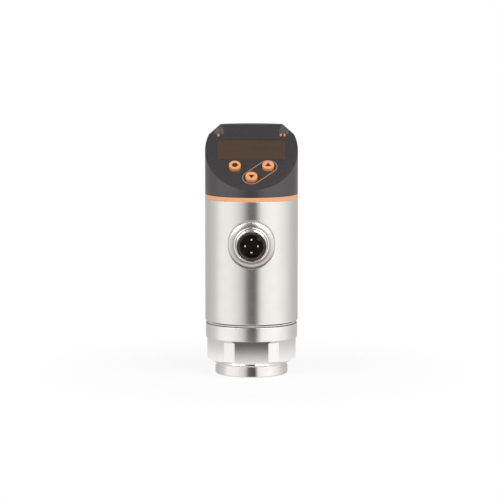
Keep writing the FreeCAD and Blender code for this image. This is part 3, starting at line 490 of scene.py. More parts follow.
def make_process_body():
    """The foot with its cone, the hexagon, and the band with the neck."""
    mesh = bmesh.new()
    cone_slope = (HEX_LEVEL - CONE_LEVEL) / (TURNED_RADIUS - SHOULDER_RADIUS)
    flats_start = CONE_LEVEL + cone_slope * (HEX_REACH - SHOULDER_RADIUS)
    lathe(mesh, rounded([
        (PORT_RADIUS, PORT_DEPTH, 0), (PORT_RADIUS, 0, PORT_ROUNDING), (FOOT_RADIUS, 0, FOOT_ROUNDING),
        (FOOT_RADIUS, FOOT_TOP - FOOT_CHAMFER, 0), (FOOT_RADIUS - FOOT_CHAMFER, FOOT_TOP, 0),
        (SHOULDER_RADIUS, FOOT_TOP, 0), (SHOULDER_RADIUS, CONE_LEVEL, SHOULDER_ROUNDING),
        (HEX_REACH, flats_start, 0),
    ]))
    corners = [(HEX_REACH, flats_start), (TURNED_RADIUS, HEX_LEVEL), (TURNED_RADIUS, BAND_CONE_LEVEL),
               (BAND_RADIUS, BAND_LEVEL)]
    rows = corners[:1]
    steps_between = CONE_STEPS, SIDE_STEPS, SIDE_STEPS
    for (radius, low), (next_radius, high), steps in zip(corners, corners[1:], steps_between):
        rows += [(radius + (next_radius - radius) * k / steps, low + (high - low) * k / steps)
                 for k in range(1, steps + 1)]
    rings = [hex_row(mesh, radius, level) for radius, level in rows]
    shelf = []
    for vertex in rings[-1]:
        stretch = BAND_RADIUS / vertex.co.xy.length
        shelf.append(mesh.verts.new((vertex.co.x * stretch, vertex.co.y * stretch, BAND_LEVEL)))
    skin(mesh, rings + [shelf])
    lathe(mesh, rounded([
        (BAND_RADIUS, BAND_LEVEL, 0), (BAND_RADIUS, BAND_TOP, BAND_ROUNDING), (NECK_RADIUS, BAND_TOP, 0),
        (NECK_RADIUS, TUBE_LOW + NECK_HEIGHT, 0),
    ]))
    body = make_object("process_body_turned", mesh, smooth_angle=math.radians(14))
    dress(body, "base", "steel_turned", body_finish(), "process_body")


# Housing: tube with the round pocket of the connector.

POCKET_RADIUS = 9.2 * MM
POCKET_FLOOR = 14.6 * MM
POCKET_BEND = 3.2 * MM
POCKET_BEND_DEPTH = 1.6 * MM
POCKET_REACH = 5.8 * MM
POCKET_RIM = 0.35 * MM
# The pocket's profile starts outside the tube and runs along the wall, round the bend and over the floor.
POCKET_START = RADIUS + MM
POCKET_WALL = POCKET_START - POCKET_FLOOR - POCKET_BEND_DEPTH
BEND_LENGTH = POCKET_BEND * math.pi / 2
POCKET_LENGTH = POCKET_WALL + BEND_LENGTH + POCKET_RADIUS - POCKET_BEND - POCKET_REACH
POCKET_RINGS = 24
RIM_STEPS = 5
HALVINGS = 40
TUBE_INNER = 15.5 * MM
TUBE_LEDGE = 16.0 * MM
TUBE_FOOT_ROUNDING = 0.22 * MM
TUBE_EDGE_ROUNDING = 0.1 * MM
TUBE_COLUMNS = 240
TUBE_STEP = TURN / TUBE_COLUMNS
ROWS_BELOW, ROWS_ABOVE = 12, 4
# A square patch of the tube's grid is left out, and rings blend from its edge into the pocket's rim.
PATCH_COLUMNS = 25
PATCH_RINGS = 14
# Below one, the first steps of that blend are the widest.
PATCH_EASE = 0.8


def pocket_point(distance):
    """A point of the pocket's profile at a distance from its start, as (radius, level along the plug)."""
    if distance < POCKET_WALL:
        return POCKET_RADIUS, POCKET_START - distance
    if distance < POCKET_WALL + BEND_LENGTH:
        angle = (distance - POCKET_WALL) / POCKET_BEND
        return (POCKET_RADIUS - POCKET_BEND * (1 - math.cos(angle)),
                POCKET_FLOOR + POCKET_BEND_DEPTH * (1 - math.sin(angle)))
    return POCKET_RADIUS - POCKET_BEND - (distance - POCKET_WALL - BEND_LENGTH), POCKET_FLOOR


def rim_distance(angle):
    """Where the pocket's profile leaves the tube's surface, in the direction of angle round the plug."""
    low, high = 0.0, POCKET_LENGTH
    for _ in range(HALVINGS):
        middle = (low + high) / 2
        reach, level = pocket_point(middle)
        if level > math.sqrt(RADIUS ** 2 - (reach * math.cos(angle)) ** 2):
            low = middle
        else:
            high = middle
    return high


def on_tube(across, up):
    """A point on the tube's surface, across along its arc and up from the plug's level."""
    return around(RADIUS, across / RADIUS, PLUG_LEVEL + up)


def in_pocket(angle, distance):
    """A point of the pocket, at an angle round the plug and a distance along its profile."""
    radius, level = pocket_point(distance)
    return PLUG @ Vector((radius * math.cos(angle), radius * math.sin(angle), level))


def tube_rows():
    """The tube's profile, and the numbers of the rows where the patch starts and ends."""
    reach = PATCH_COLUMNS * TUBE_STEP * RADIUS
    foot, low, high = TUBE_LOW + MM, PLUG_LEVEL - reach, PLUG_LEVEL + reach
    rows = rounded([(TUBE_INNER, TUBE_LOW, 0), (RADIUS, TUBE_LOW, TUBE_FOOT_ROUNDING), (RADIUS, foot, 0)])
    rows += [(RADIUS, foot + (low - foot) * k / ROWS_BELOW) for k in range(1, ROWS_BELOW)]
    first = len(rows)
    rows += [(RADIUS, low + reach * k / PATCH_COLUMNS) for k in range(2 * PATCH_COLUMNS + 1)]
    last = len(rows) - 1
    rows += [(RADIUS, high + (TUBE_TOP - MM - high) * k / ROWS_ABOVE) for k in range(1, ROWS_ABOVE + 1)]
    rows += rounded([(RADIUS, TUBE_TOP - MM, 0), (RADIUS, TUBE_TOP, TUBE_EDGE_ROUNDING),
                     (TUBE_LEDGE, TUBE_TOP, 0)])[1:]
    return rows, first, last


def tube_grid(mesh, rows, first, last):
    """The tube without its patch; gives the vertices by row and column."""

    def in_patch(row, column, edge=0):
        return first + edge <= row <= last - edge and abs(column) <= PATCH_COLUMNS - edge

    columns = range(-TUBE_COLUMNS // 2, TUBE_COLUMNS // 2)
    grid = {}
    for row, (radius, level) in enumerate(rows):
        for column in columns:
            if not in_patch(row, column, edge=1):
                grid[row, column] = mesh.verts.new(around(radius, column * TUBE_STEP, level))
    for row in range(len(rows) - 1):
        for column in columns:
            after = column + 1 if column + 1 in columns else columns[0]
            corners = [(row, column), (row, after), (row + 1, after), (row + 1, column)]
            if not (in_patch(row, column) and in_patch(row + 1, column + 1)):
                mesh.faces.new([grid[corner] for corner in corners])
    return grid


def make_housing():
    """The tube, the patch round the pocket, its rounded rim and the pocket."""
    mesh = bmesh.new()
    rows, first_row, last_row = tube_rows()
    grid = tube_grid(mesh, rows, first_row, last_row)
    side = range(-PATCH_COLUMNS, PATCH_COLUMNS)
    loop = [(first_row, c) for c in side]
    loop += [(first_row + PATCH_COLUMNS + c, PATCH_COLUMNS) for c in side]
    loop += [(last_row, -c) for c in side]
    loop += [(last_row - PATCH_COLUMNS - c, -PATCH_COLUMNS) for c in side]
    edge = [(column * TUBE_STEP * RADIUS, rows[row][1] - PLUG_LEVEL) for row, column in loop]
    turns = [math.atan2(up, across) for across, up in edge]
    starts = [rim_distance(angle) for angle in turns]
    rim = []
    for angle, start in zip(turns, starts):
        radius = pocket_point(start)[0] + POCKET_RIM
        rim.append((RADIUS * math.asin(radius * math.cos(angle) / RADIUS), radius * math.sin(angle)))

    rings = [[grid[place] for place in loop]]
    for k in range(1, PATCH_RINGS + 1):
        share = (k / PATCH_RINGS) ** PATCH_EASE
        rings.append([mesh.verts.new(on_tube(a + (c - a) * share, b + (d - b) * share))
                      for (a, b), (c, d) in zip(edge, rim)])
    for k in range(1, RIM_STEPS):
        share = k / RIM_STEPS
        row = []
        for angle, start, outer in zip(turns, starts, rim):
            corner = on_tube(*outer).lerp(in_pocket(angle, start), share)
            inner = in_pocket(angle, start).lerp(in_pocket(angle, start + POCKET_RIM), share)
            row.append(mesh.verts.new(corner.lerp(inner, share)))
        rings.append(row)
    for k in range(POCKET_RINGS + 1):
        row = []
        for angle, start in zip(turns, starts):
            first = start + POCKET_RIM
            row.append(mesh.verts.new(in_pocket(angle, first + (POCKET_LENGTH - first) * k / POCKET_RINGS)))
        rings.append(row)
    skin(mesh, rings)
    tube = make_object("housing_tube", mesh, smooth_angle=math.radians(40))
    dress(tube, "turning_housing", "steel", steel, "housing")


ACCENT_INNER = 15 * MM
ACCENT_ROUNDING = 0.12 * MM
# The bearing ring is a band on a narrower neck, between two dark lips: black rings put in the groove's gaps
# as painted shade.
NECK_DEPTH = 0.9 * MM
SLIDE_DEPTH = 1.4 * MM
SLIDE_ROUNDING = 0.08 * MM
LOWER_LIP, UPPER_LIP = 0.25 * MM, 0.2 * MM
LIP_REACH = 0.1 * MM
LIP_ROUNDING = 0.05 * MM
LIP_GAP = 0.02 * MM


def make_accent_ring():
    """The translucent ring between the housing and the head."""
    mesh = bmesh.new()
    lathe(mesh, rounded([
        (ACCENT_INNER, TUBE_TOP, 0), (RADIUS, TUBE_TOP, ACCENT_ROUNDING), (RADIUS, HEAD_LOW, ACCENT_ROUNDING),
        (ACCENT_INNER, HEAD_LOW, 0),
    ]), closed=True)
    dress(make_object("accent_ring_moulded", mesh), "turning_housing", "accent_plastic", accent_plastic,
          "accent_ring")


def make_bearing_ring():
    """The bearing ring and its dark lips, in the groove below the housing; the lips paint the shade of the
    gaps beside the ring.
    """
    bearing_low, bearing_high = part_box("bearing_ring")
    outer, foot, top = bearing_high.x, bearing_low.z, bearing_high.z
    neck, inner = outer - NECK_DEPTH, outer - SLIDE_DEPTH
    band_foot, band_top = foot + LOWER_LIP, top - UPPER_LIP
    mesh = bmesh.new()
    lathe(mesh, rounded([
        (inner, foot, 0), (neck, foot, 0), (neck, band_foot, 0), (outer, band_foot, SLIDE_ROUNDING),
        (outer, band_top, SLIDE_ROUNDING), (neck, band_top, 0), (neck, top, 0), (inner, top, 0),
    ]), closed=True)
    dress(make_object("bearing_ring_slide", mesh), "base", "bearing_plastic", bearing_plastic, "bearing_ring")
    # Painted shade: dark rubber rings fill the gaps above and below the bearing ring, where the groove is in
    # shade.
    mesh = bmesh.new()
    reach = outer + LIP_REACH
    for low, high in ((foot, band_foot), (band_top, TUBE_LOW - LIP_GAP)):
        lathe(mesh, rounded([
            (neck, low, 0), (reach, low, LIP_ROUNDING), (reach, high, LIP_ROUNDING), (neck, high, 0),
        ]), closed=True)
    dress(make_object("groove_shade_lips", mesh), "base", "rubber", rubber)


# Connector.

THREAD_RADIUS = 6.0 * MM
THREAD_PITCH = 1.0 * MM
THREAD_DEPTH = 0.55 * MM
# Above one, the thread's valleys are wider than its crests.
VALLEY_WIDTH = 1.35
FADE_IN, FADE_OUT = 0.6 * MM, 0.5 * MM
THREAD_COLUMNS = 144
ROWS_PER_TURN = 14
COLLAR_BORE = 5.0 * MM
COLLAR_RADIUS = 6.9 * MM
COLLAR_TOP = POCKET_FLOOR + 3.8 * MM
COLLAR_ROUNDING = 0.7 * MM
SHELL_BORE = 5.55 * MM
SHELL_ROUNDING = 0.08 * MM
MOUTH_CHAMFER = 0.25 * MM
MOUTH_STEP = 0.2 * MM
MOUTH_ROUNDING = 0.05 * MM
THREAD_TOP = PLUG_MOUTH - MOUTH_CHAMFER
INSERT_MOUTH = PLUG_MOUTH - 0.25 * MM
INSERT_RADIUS = SHELL_BORE - 0.05 * MM
INSERT_EDGE = 2 * MM
INSERT_ROUNDING = 0.15 * MM
CAVITY_FLOOR = INSERT_MOUTH - 8.5 * MM
CAVITY_RADIUS = 4.5 * MM
CAVITY_CHAMFER = 0.4 * MM
CAVITY_ROUNDING = 0.2 * MM
CHAMFER_ROUNDING = 0.1 * MM
KEY_TURN = math.radians(45)
KEY_REACH = 3.6 * MM
KEY_HALF = 0.75 * MM
KEY_ROUNDING = 0.25 * MM
KEY_TOP = INSERT_MOUTH - 0.45 * MM
KEY_EDGE = 0.1 * MM
KEY_OVERLAP = 0.1 * MM
PIN_COUNT = 4
PIN_RADIUS = 0.5 * MM
PIN_ROUNDING = 0.42 * MM
PIN_COLUMNS = 40


def thread_cut(level, angle):
    """How deep the thread goes at a level along the plug; it fades out at both ends."""
    phase = (level / THREAD_PITCH - angle / TURN) % 1
    depth = min(1.0, VALLEY_WIDTH * abs(2 * phase - 1))
    fade = min(1.0, (level - COLLAR_TOP) / FADE_IN, (THREAD_TOP - level) / FADE_OUT)
    return THREAD_DEPTH * depth * max(0.0, fade)


def make_connector_shell():
    """The collar, the thread and the mouth of the plug's shell."""
    mesh = bmesh.new()
    lathe(mesh, rounded([
        (COLLAR_BORE, POCKET_FLOOR, 0), (COLLAR_RADIUS, POCKET_FLOOR, 0),
        (COLLAR_RADIUS, COLLAR_TOP, COLLAR_ROUNDING), (THREAD_RADIUS, COLLAR_TOP, 0),
    ]), THREAD_COLUMNS, PLUG)
    length = THREAD_TOP - COLLAR_TOP
    count = round(length / THREAD_PITCH * ROWS_PER_TURN)
    angles = [TURN * i / THREAD_COLUMNS for i in range(THREAD_COLUMNS)]
    rows = []
    for k in range(count + 1):
        level = COLLAR_TOP + length * k / count
        rows.append([mesh.verts.new(PLUG @ around(THREAD_RADIUS - thread_cut(level, angle), angle, level))
                     for angle in angles])
    skin(mesh, rows)
    lathe(mesh, rounded([
        (THREAD_RADIUS, THREAD_TOP, 0), (THREAD_RADIUS - MOUTH_STEP, PLUG_MOUTH, MOUTH_ROUNDING),
        (SHELL_BORE, PLUG_MOUTH, SHELL_ROUNDING), (SHELL_BORE, INSERT_MOUTH - MM, 0),
    ]), THREAD_COLUMNS, PLUG)
    dress(make_object("connector_shell_threaded", mesh), "turning_housing", "nickel", nickel,
          "connector_shell")


def make_connector_insert():
    """The contact insert: a deep cavity with the coding key on its wall."""
    mesh = bmesh.new()
    lathe(mesh, rounded([
        (0, CAVITY_FLOOR, 0), (CAVITY_RADIUS, CAVITY_FLOOR, CAVITY_ROUNDING),
        (CAVITY_RADIUS, INSERT_MOUTH - CAVITY_CHAMFER, CHAMFER_ROUNDING),
        (CAVITY_RADIUS + CAVITY_CHAMFER, INSERT_MOUTH, CAVITY_ROUNDING),
        (INSERT_RADIUS, INSERT_MOUTH, INSERT_ROUNDING), (INSERT_RADIUS, INSERT_MOUTH - INSERT_EDGE, 0),
    ]), THREAD_COLUMNS, PLUG)
    key = bmesh.new()
    outline = rounded_rectangle(KEY_REACH, CAVITY_RADIUS + KEY_OVERLAP, -KEY_HALF, KEY_HALF, KEY_ROUNDING)
    prism(key, outline, CAVITY_FLOOR, KEY_TOP, PLUG @ Matrix.Rotation(KEY_TURN, 4, "Z"))
    bevel_sharp(key, KEY_EDGE)
    add_mesh(mesh, key)
    dress(make_object("connector_insert_keyed", mesh), "turning_housing", "insert_plastic", insert_plastic,
          "connector_insert")


def make_contact_pins():
    """Pins with round tips, on the circle where the frame has them."""
    pins_high = span_in(PLUG, "contact_pins")[1]
    circle = pins_high.x - PIN_RADIUS
    mesh = bmesh.new()
    for number in range(PIN_COUNT):
        turned = Matrix.Rotation(TURN * number / PIN_COUNT, 4, "Z") @ Matrix.Translation((circle, 0, 0))
        lathe(mesh, rounded([
            (0, CAVITY_FLOOR - MM, 0), (PIN_RADIUS, CAVITY_FLOOR - MM, 0),
            (PIN_RADIUS, pins_high.z, PIN_ROUNDING), (0, pins_high.z, 0),
        ]), PIN_COLUMNS, PLUG @ turned)
    dress(make_object("contact_pins_rounded", mesh), "turning_housing", "gold", gold, "contact_pins")


# Head.

HEAD_COLUMNS = 256
HEAD_ROUNDING = 0.35 * MM
FLAT_ANGLE = math.radians(0.2)


def trim(mesh, cuts):
    """Keeps what lies behind every plane, each a point and the normal of what goes, and closes the cuts."""
    for point, normal in cuts:
        everything = mesh.verts[:] + mesh.edges[:] + mesh.faces[:]
        cut = bmesh.ops.bisect_plane(mesh, geom=everything, plane_co=point, plane_no=normal, clear_outer=True)
        edges = [part for part in cut["geom_cut"] if isinstance(part, bmesh.types.BMEdge)]
        bmesh.ops.holes_fill(mesh, edges=edges, sides=0)


def head_mesh(grow=0.0):
    """The head's outer form with rounded edges: a cylinder cut by the face and by a bevel on each side."""
    mesh = bmesh.new()
    radius, top = RADIUS + grow, HEAD_TOP + grow
    lathe(mesh, [(0, HEAD_LOW), (radius, HEAD_LOW), (radius, top + MM), (0, top + MM)], HEAD_COLUMNS)
    cuts = [
        (Vector((0, 0, top)), Vector((0, 0, 1))),
        (FACE @ Vector((0, 0, grow)), FACE.to_3x3() @ Vector((0, 0, 1))),
    ]
    for side in (1, -1):
        cuts.append((Vector((side * (TOP_SIDE + grow / 2), 0, top)),
                     Vector((side * math.sin(BEVEL_ANGLE), 0, math.cos(BEVEL_ANGLE)))))
    trim(mesh, cuts)
    bmesh.ops.dissolve_limit(mesh, angle_limit=FLAT_ANGLE, verts=mesh.verts, edges=mesh.edges)
    bevel_sharp(mesh, HEAD_ROUNDING, angle=20, segments=4)
    return mesh


SIDES = ("left", "right")
# From this distance back, a lens's inner wall leans out towards the corner of the head's flat top.
LENS_WAIST = 8.9 * MM


def lens_outline(side):
    """Corners of a status lens seen from above, and its floor; its inner wall runs to the head's corner."""
    low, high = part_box(f"status_lens_{side}")
    sign = 1 if side == "right" else -1
    inner, outer = sorted((abs(low.x), abs(high.x)))
    lean = (TOP_SIDE - inner) / (TOP_FRONT - LENS_WAIST)
    back = inner + lean * (high.y - LENS_WAIST)
    corners = [(inner, low.y), (outer, low.y), (outer, high.y), (back, high.y), (inner, LENS_WAIST)]
    return [(sign * x, y) for x, y in corners][::sign], low.z


WINDOW_LOW, WINDOW_HIGH = span_in(FACE, "display_window")
WINDOW_ROUNDING = 1.6 * MM
WINDOW_EDGE = 0.12 * MM
WINDOW_PLAY = 0.05 * MM
BUTTON_NAMES = ("mode", "up", "down")
HOLE_RADIUS = 2.5 * MM
HOLE_DEPTH = 2.0 * MM
HOLE_CHAMFER = 0.3 * MM
BUTTON_COLUMNS = 96
# A little past a surface, so that a cut leaves no skin on it.
PAST = 0.02 * MM


def window_outline(play=0.0):
    """The window's outline on the face, larger by the play all round."""
    return rounded_rectangle(WINDOW_LOW.x - play, WINDOW_HIGH.x + play, WINDOW_LOW.y - play,
                             WINDOW_HIGH.y + play, WINDOW_ROUNDING)


def button_place(name):
    """The middle of a button, across and up the face."""
    low, high = span_in(FACE, f"button_{name}")
    return (low.x + high.x) / 2, (low.y + high.y) / 2


def make_head():
    """The head with the window's recess, the buttons' holes and the notches of the lenses."""
    head = make_object("head_shell_moulded", head_mesh())
    mesh = bmesh.new()
    prism(mesh, window_outline(WINDOW_PLAY), WINDOW_LOW.z, MM, FACE)
    cut_out(head, make_object("recess_tool", mesh))
    chamfer_radius = HOLE_RADIUS + HOLE_CHAMFER
    for name in BUTTON_NAMES:
        mesh = bmesh.new()
        lathe(mesh, [(0, -HOLE_DEPTH), (HOLE_RADIUS, -HOLE_DEPTH), (HOLE_RADIUS, -HOLE_CHAMFER),
                     (chamfer_radius, PAST), (chamfer_radius, MM), (0, MM)],
              BUTTON_COLUMNS, FACE @ Matrix.Translation((*button_place(name), 0)))
        cut_out(head, make_object("hole_tool", mesh))
    for side in SIDES:
        outline, floor = lens_outline(side)
        mesh = bmesh.new()
        prism(mesh, outline, floor, HEAD_TOP + 2 * MM, UPRIGHT)
        cut_out(head, make_object("notch_tool", mesh))
    head.data.shade_smooth()
    head.data.set_sharp_from_angle(angle=SMOOTH_ANGLE)
    dress(head, "turning_housing", "head_plastic", head_plastic, "head_shell")


RIB_PITCH = 0.62 * MM
RIB_WIDTH = 0.42 * MM
RIB_HEIGHT = 0.08 * MM
RIB_TOP = 0.02 * MM


def make_lenses():
    """Ribbed light guides: slices of the head's form inside each corner block, every rib a little proud."""
    for side in SIDES:
        outline, floor = lens_outline(side)
        cuts = [(Vector((0, 0, floor)), Vector((0, 0, -1)))]
        for (x, y), (next_x, next_y) in zip(outline, outline[1:] + outline[:1]):
            cuts.append((Vector((x, y, 0)), Vector((next_y - y, x - next_x, 0)).normalized()))
        lens = head_mesh(RIB_TOP - RIB_HEIGHT)
        trim(lens, cuts)
        start = min(x for x, y in outline)
        count = int((max(x for x, y in outline) - start) / RIB_PITCH) + 1
        for number in range(count):
            x = start + number * RIB_PITCH
            rib = head_mesh(RIB_TOP)
            trim(rib, cuts + [(Vector((x, 0, 0)), Vector((-1, 0, 0))),
                              (Vector((x + RIB_WIDTH, 0, 0)), Vector((1, 0, 0)))])
            add_mesh(lens, rib)
        piece = make_object(f"status_lens_{side}_ribbed", lens)
        dress(piece, "turning_housing", "lens_plastic", lens_plastic, f"status_lens_{side}")


SPOT_PLACES = (-12.9 * MM, 11.4 * MM, 12.9 * MM)
SPOT_HALF_WIDTH = 0.42 * MM
SPOT_LENGTH = 1.4 * MM
SPOT_ROUNDING = 0.4 * MM
SPOT_LOW, SPOT_HIGH = -0.3 * MM, 0.09 * MM
SPOT_EDGE = 0.07 * MM
SPOT_OVERLAP = 0.1 * MM


def make_light_spots():
    """Amber ends of the light guides, just below the lenses."""
    mesh = bmesh.new()
    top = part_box("status_lens_left")[0].y / math.cos(FACE_ANGLE) + SPOT_OVERLAP
    for x in SPOT_PLACES:
        outline = rounded_rectangle(x - SPOT_HALF_WIDTH, x + SPOT_HALF_WIDTH, top - SPOT_LENGTH, top,
                                    SPOT_ROUNDING, steps=6)
        prism(mesh, outline, SPOT_LOW, SPOT_HIGH, FACE)
    bevel_sharp(mesh, SPOT_EDGE, segments=2)
    dress(make_object("status_light_spots", mesh), "turning_housing", "led", amber_light)


def make_window():
    """The tinted window, flush with the face."""
    mesh = bmesh.new()
    prism(mesh, window_outline(), WINDOW_LOW.z, 0, FACE)
    bevel_sharp(mesh, WINDOW_EDGE)
    dress(make_object("display_window_tinted", mesh), "turning_housing", "window_plastic", window_plastic,
          "display_window")


BUTTON_RADIUS = 2.33 * MM
BUTTON_RISE = 1.3 * MM
BUTTON_ROUNDING = 0.55 * MM
FLANGE_RADIUS = BUTTON_RADIUS + 0.5 * MM
FLANGE_LOW, FLANGE_HIGH = -2.4 * MM, -2.0 * MM
CREST_RADIUS = 1.7 * MM
CREST_ROUNDING = 0.06 * MM
DISH_RADIUS = 1.3 * MM
DISH_DEPTH = 0.4 * MM
DISH_ROUNDING = 0.12 * MM
DISH_FLOOR = BUTTON_RISE - DISH_DEPTH
SYMBOL_RADIUS = 1.1 * MM
TRIANGLE_RADIUS = 1.12 * SYMBOL_RADIUS
SYMBOL_LOW, SYMBOL_HIGH = DISH_FLOOR - 0.05 * MM, DISH_FLOOR + 0.12 * MM
# Each symbol's radius, its first and last angle in degrees, and the steps between them.
SYMBOLS = {
    "mode": (SYMBOL_RADIUS, 0, 350, 35),
    "up": (TRIANGLE_RADIUS, 90, 330, 2),
    "down": (TRIANGLE_RADIUS, -90, 150, 2),
}


def make_buttons():
    """Domed caps with a shallow dish that carries the symbol."""
    for name in BUTTON_NAMES:
        place = FACE @ Matrix.Translation((*button_place(name), 0))
        mesh = bmesh.new()
        lathe(mesh, rounded([
            (0, FLANGE_LOW, 0), (FLANGE_RADIUS, FLANGE_LOW, 0), (FLANGE_RADIUS, FLANGE_HIGH, 0),
            (BUTTON_RADIUS, FLANGE_HIGH, 0), (BUTTON_RADIUS, BUTTON_RISE, BUTTON_ROUNDING),
            (CREST_RADIUS, BUTTON_RISE, CREST_ROUNDING), (DISH_RADIUS, DISH_FLOOR, DISH_ROUNDING),
            (0, DISH_FLOOR, 0),
        ]), BUTTON_COLUMNS, place)
        cap = make_object(f"button_{name}_domed", mesh)
        dress(cap, f"{name}_key", "button_plastic", button_plastic, f"button_{name}")
        mesh = bmesh.new()
        prism(mesh, arc(0, 0, *SYMBOLS[name]), SYMBOL_LOW, SYMBOL_HIGH, place)
        symbol = make_object(f"symbol_{name}_printed", mesh)
        dress(symbol, f"{name}_key", "symbol_plastic", symbol_plastic, f"symbol_{name}")


OUTLINE_REACH = 3.4 * MM
OUTLINE_WIDTH = 0.34 * MM
OUTLINE_FOOT, OUTLINE_EDGE, OUTLINE_TOP = -0.1 * MM, 0.05 * MM, 0.1 * MM
OUTLINE_STEPS = 32


def make_outline():
    """The thin raised line round the two arrow buttons."""
    (x_up, along_up), (x_down, along_down) = button_place("up"), button_place("down")
    tilt = math.degrees(math.atan2(along_up - along_down, x_up - x_down))
    half, quarter = OUTLINE_WIDTH / 2, OUTLINE_WIDTH / 4
    section = [(-half, OUTLINE_FOOT), (-half, OUTLINE_EDGE), (-quarter, OUTLINE_TOP),
               (quarter, OUTLINE_TOP), (half, OUTLINE_EDGE), (half, OUTLINE_FOOT)]
    mesh = bmesh.new()
    rings = []
    for side, level in section:
        reach = OUTLINE_REACH + side
        loop = (arc(x_up, along_up, reach, tilt - 90, tilt + 90, OUTLINE_STEPS)
                + arc(x_down, along_down, reach, tilt + 90, tilt + 270, OUTLINE_STEPS))
        rings.append([mesh.verts.new(FACE @ Vector((x, y, level))) for x, y in loop])
    skin(mesh, rings + rings[:1])
    dress(make_object("arrow_key_outline", mesh), "turning_housing", "accent_plastic", line_plastic)


# Inner CAD nodes keep their shape and get a finish.

INNER_FINISH = {
    "neck_seal": rubber, "cell_seal": rubber, "head_seal": rubber, "connector_seal": rubber,
    "retaining_ring": spring_steel, "stop_pin": spring_steel, "board_screws": spring_steel,
    "measuring_cell": ceramic, "cell_support": steel, "connector_nut": nickel,
    "sensor_board": board_resist, "main_board": board_resist, "display_board": board_resist,
    "display_module": module_plastic, "board_carrier": carrier_plastic, "key_switches": carrier_plastic,
    "status_leds": amber_light, "ribbon_cable": ribbon_film,
}


def finish_inner_nodes():
    """Puts each inner node's finish on the CAD object."""
    for name, material in INNER_FINISH.items():
        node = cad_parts[name]
        for slot in node.material_slots:
            slot.material = material


# Camera, light and floor.

PICTURE = 500
FOCAL_PIXELS = 2510
SENSOR = 36.0
AXIS_OFFSET = 1.5
CAMERA_PLACE = (0, -0.970, 0.164)
CAMERA_PITCH = math.radians(6.82)


def make_camera():
    """The photo's view; its axis lies a little beside the picture's middle."""
    data = bpy.data.cameras.new("camera")
    data.sensor_width = SENSOR
    data.lens = SENSOR * FOCAL_PIXELS / PICTURE
    camera = bpy.data.objects.new("camera", data)
    bpy.context.scene.collection.objects.link(camera)
    camera.location = CAMERA_PLACE
    camera.rotation_euler = (math.pi / 2 - CAMERA_PITCH, 0, math.atan2(AXIS_OFFSET, FOCAL_PIXELS))
    bpy.context.scene.camera = camera


# Brightness round the object by azimuth: behind it (-180), to its left, in front of it (0) and to its right.
SURROUNDINGS = (
    (-180, 0.50), (-132, 0.50), (-103, 0.60), (-92, 0.76), (-82, 0.90), (-55, 0.90), (-44, 0.84), (-31, 0.70),
    (-22, 0.60), (-8, 0.12), (10.5, 0.07), (23, 0.86), (36, 0.92), (60, 1.0), (78, 0.90), (99, 0.75),
    (113, 0.60), (128, 0.52), (180, 0.50),
)
# Brightness overhead and below; each blends in over this range of the cosine to its own direction.
CEILING = 0.17
GROUND = 0.62
CEILING_TILT = math.radians(25)
CEILING_RANGE = 0.62, 0.88
GROUND_RANGE = 0.30, 0.55
ROOM_RADIUS = 1.7
ROOM_LOW, ROOM_TOP = -0.9, 1.7
ROOM_COLUMNS = 48
WORLD_LIGHT = (0.8, 0.8, 0.8, 1)
WHITE = (1, 1, 1, 1)


def seen_rays(made):
    """One for the rays that show the background: camera, glossy and transmission rays."""
    rays = made.node("ShaderNodeLightPath")
    seen = made.math("MAXIMUM", rays.outputs["Is Camera Ray"], rays.outputs["Is Glossy Ray"])
    return made.math("MAXIMUM", seen, rays.outputs["Is Transmission Ray"])


class World(Finish):
    """A node world under construction."""

    def __init__(self, name):
        self.material = bpy.data.worlds.new(name)
        self.material.use_nodes = True
        self.tree = self.material.node_tree
        self.tree.nodes.clear()


def make_world():
    """White wherever the background shows, and a plain level for its light."""
    made = World("studio")
    bpy.context.scene.world = made.material
    light, white = (made.node("ShaderNodeBackground") for _ in range(2))
    light.inputs["Color"].default_value = WORLD_LIGHT
    white.inputs["Color"].default_value = WHITE
    shown = made.mix(seen_rays(made), light.outputs["Background"], white.outputs["Background"])
    made.link(shown, made.node("ShaderNodeOutputWorld").inputs["Surface"])


def make_room():
    """Bright walls with a dark strip in front, for the metal to show; the camera looks through them."""
    mesh = bmesh.new()
    lathe(mesh, [(0, ROOM_LOW), (ROOM_RADIUS, ROOM_LOW), (ROOM_RADIUS, ROOM_TOP), (0, ROOM_TOP)],
          ROOM_COLUMNS)
    room = make_object("studio_room", mesh)
    made = Finish("room_cards", 0.5)
    unit = made.node("ShaderNodeVectorMath", operation="NORMALIZE")
    made.link(made.coordinates, unit.inputs[0])
    direction = made.node("ShaderNodeSeparateXYZ")
    made.link(unit.outputs["Vector"], direction.inputs["Vector"])
    azimuth = made.math("ARCTAN2", direction.outputs["X"], made.math("MULTIPLY", direction.outputs["Y"], -1))
    walls = made.ramp(made.spread(azimuth, -math.pi, math.pi, 0, 1),
                      [((angle + 180) / 360, (level, level, level)) for angle, level in SURROUNDINGS])
    overhead = 0, math.sin(CEILING_TILT), math.cos(CEILING_TILT)
    below = 0, 0, -1
    for level, (start, end), towards in ((CEILING, CEILING_RANGE, overhead), (GROUND, GROUND_RANGE, below)):
        share = made.node("ShaderNodeVectorMath", operation="DOT_PRODUCT")
        made.link(unit.outputs["Vector"], share.inputs[0])
        share.inputs[1].default_value = towards
        mix = made.node("ShaderNodeMix", data_type="RGBA")
        made.link(made.spread(share.outputs["Value"], start, end, 0, 1, smooth=True), mix.inputs["Factor"])
        made.link(walls, mix.inputs["A"])
        mix.inputs["B"].default_value = (level, level, level, 1)
        walls = mix.outputs["Result"]
    glow = made.node("ShaderNodeEmission")
    made.link(walls, glow.inputs["Color"])
    camera_ray = made.node("ShaderNodeLightPath").outputs["Is Camera Ray"]
    made.link(made.mix(camera_ray, glow.outputs["Emission"], made.clear()),
              made.tree.nodes["Material Output"].inputs["Surface"])
    room.data.materials.append(made.material)


LAMP_AIM = Vector((0, 0, 0.05))
LAMP_DISTANCE = 1.2
LAMP_SIZE = 0.9


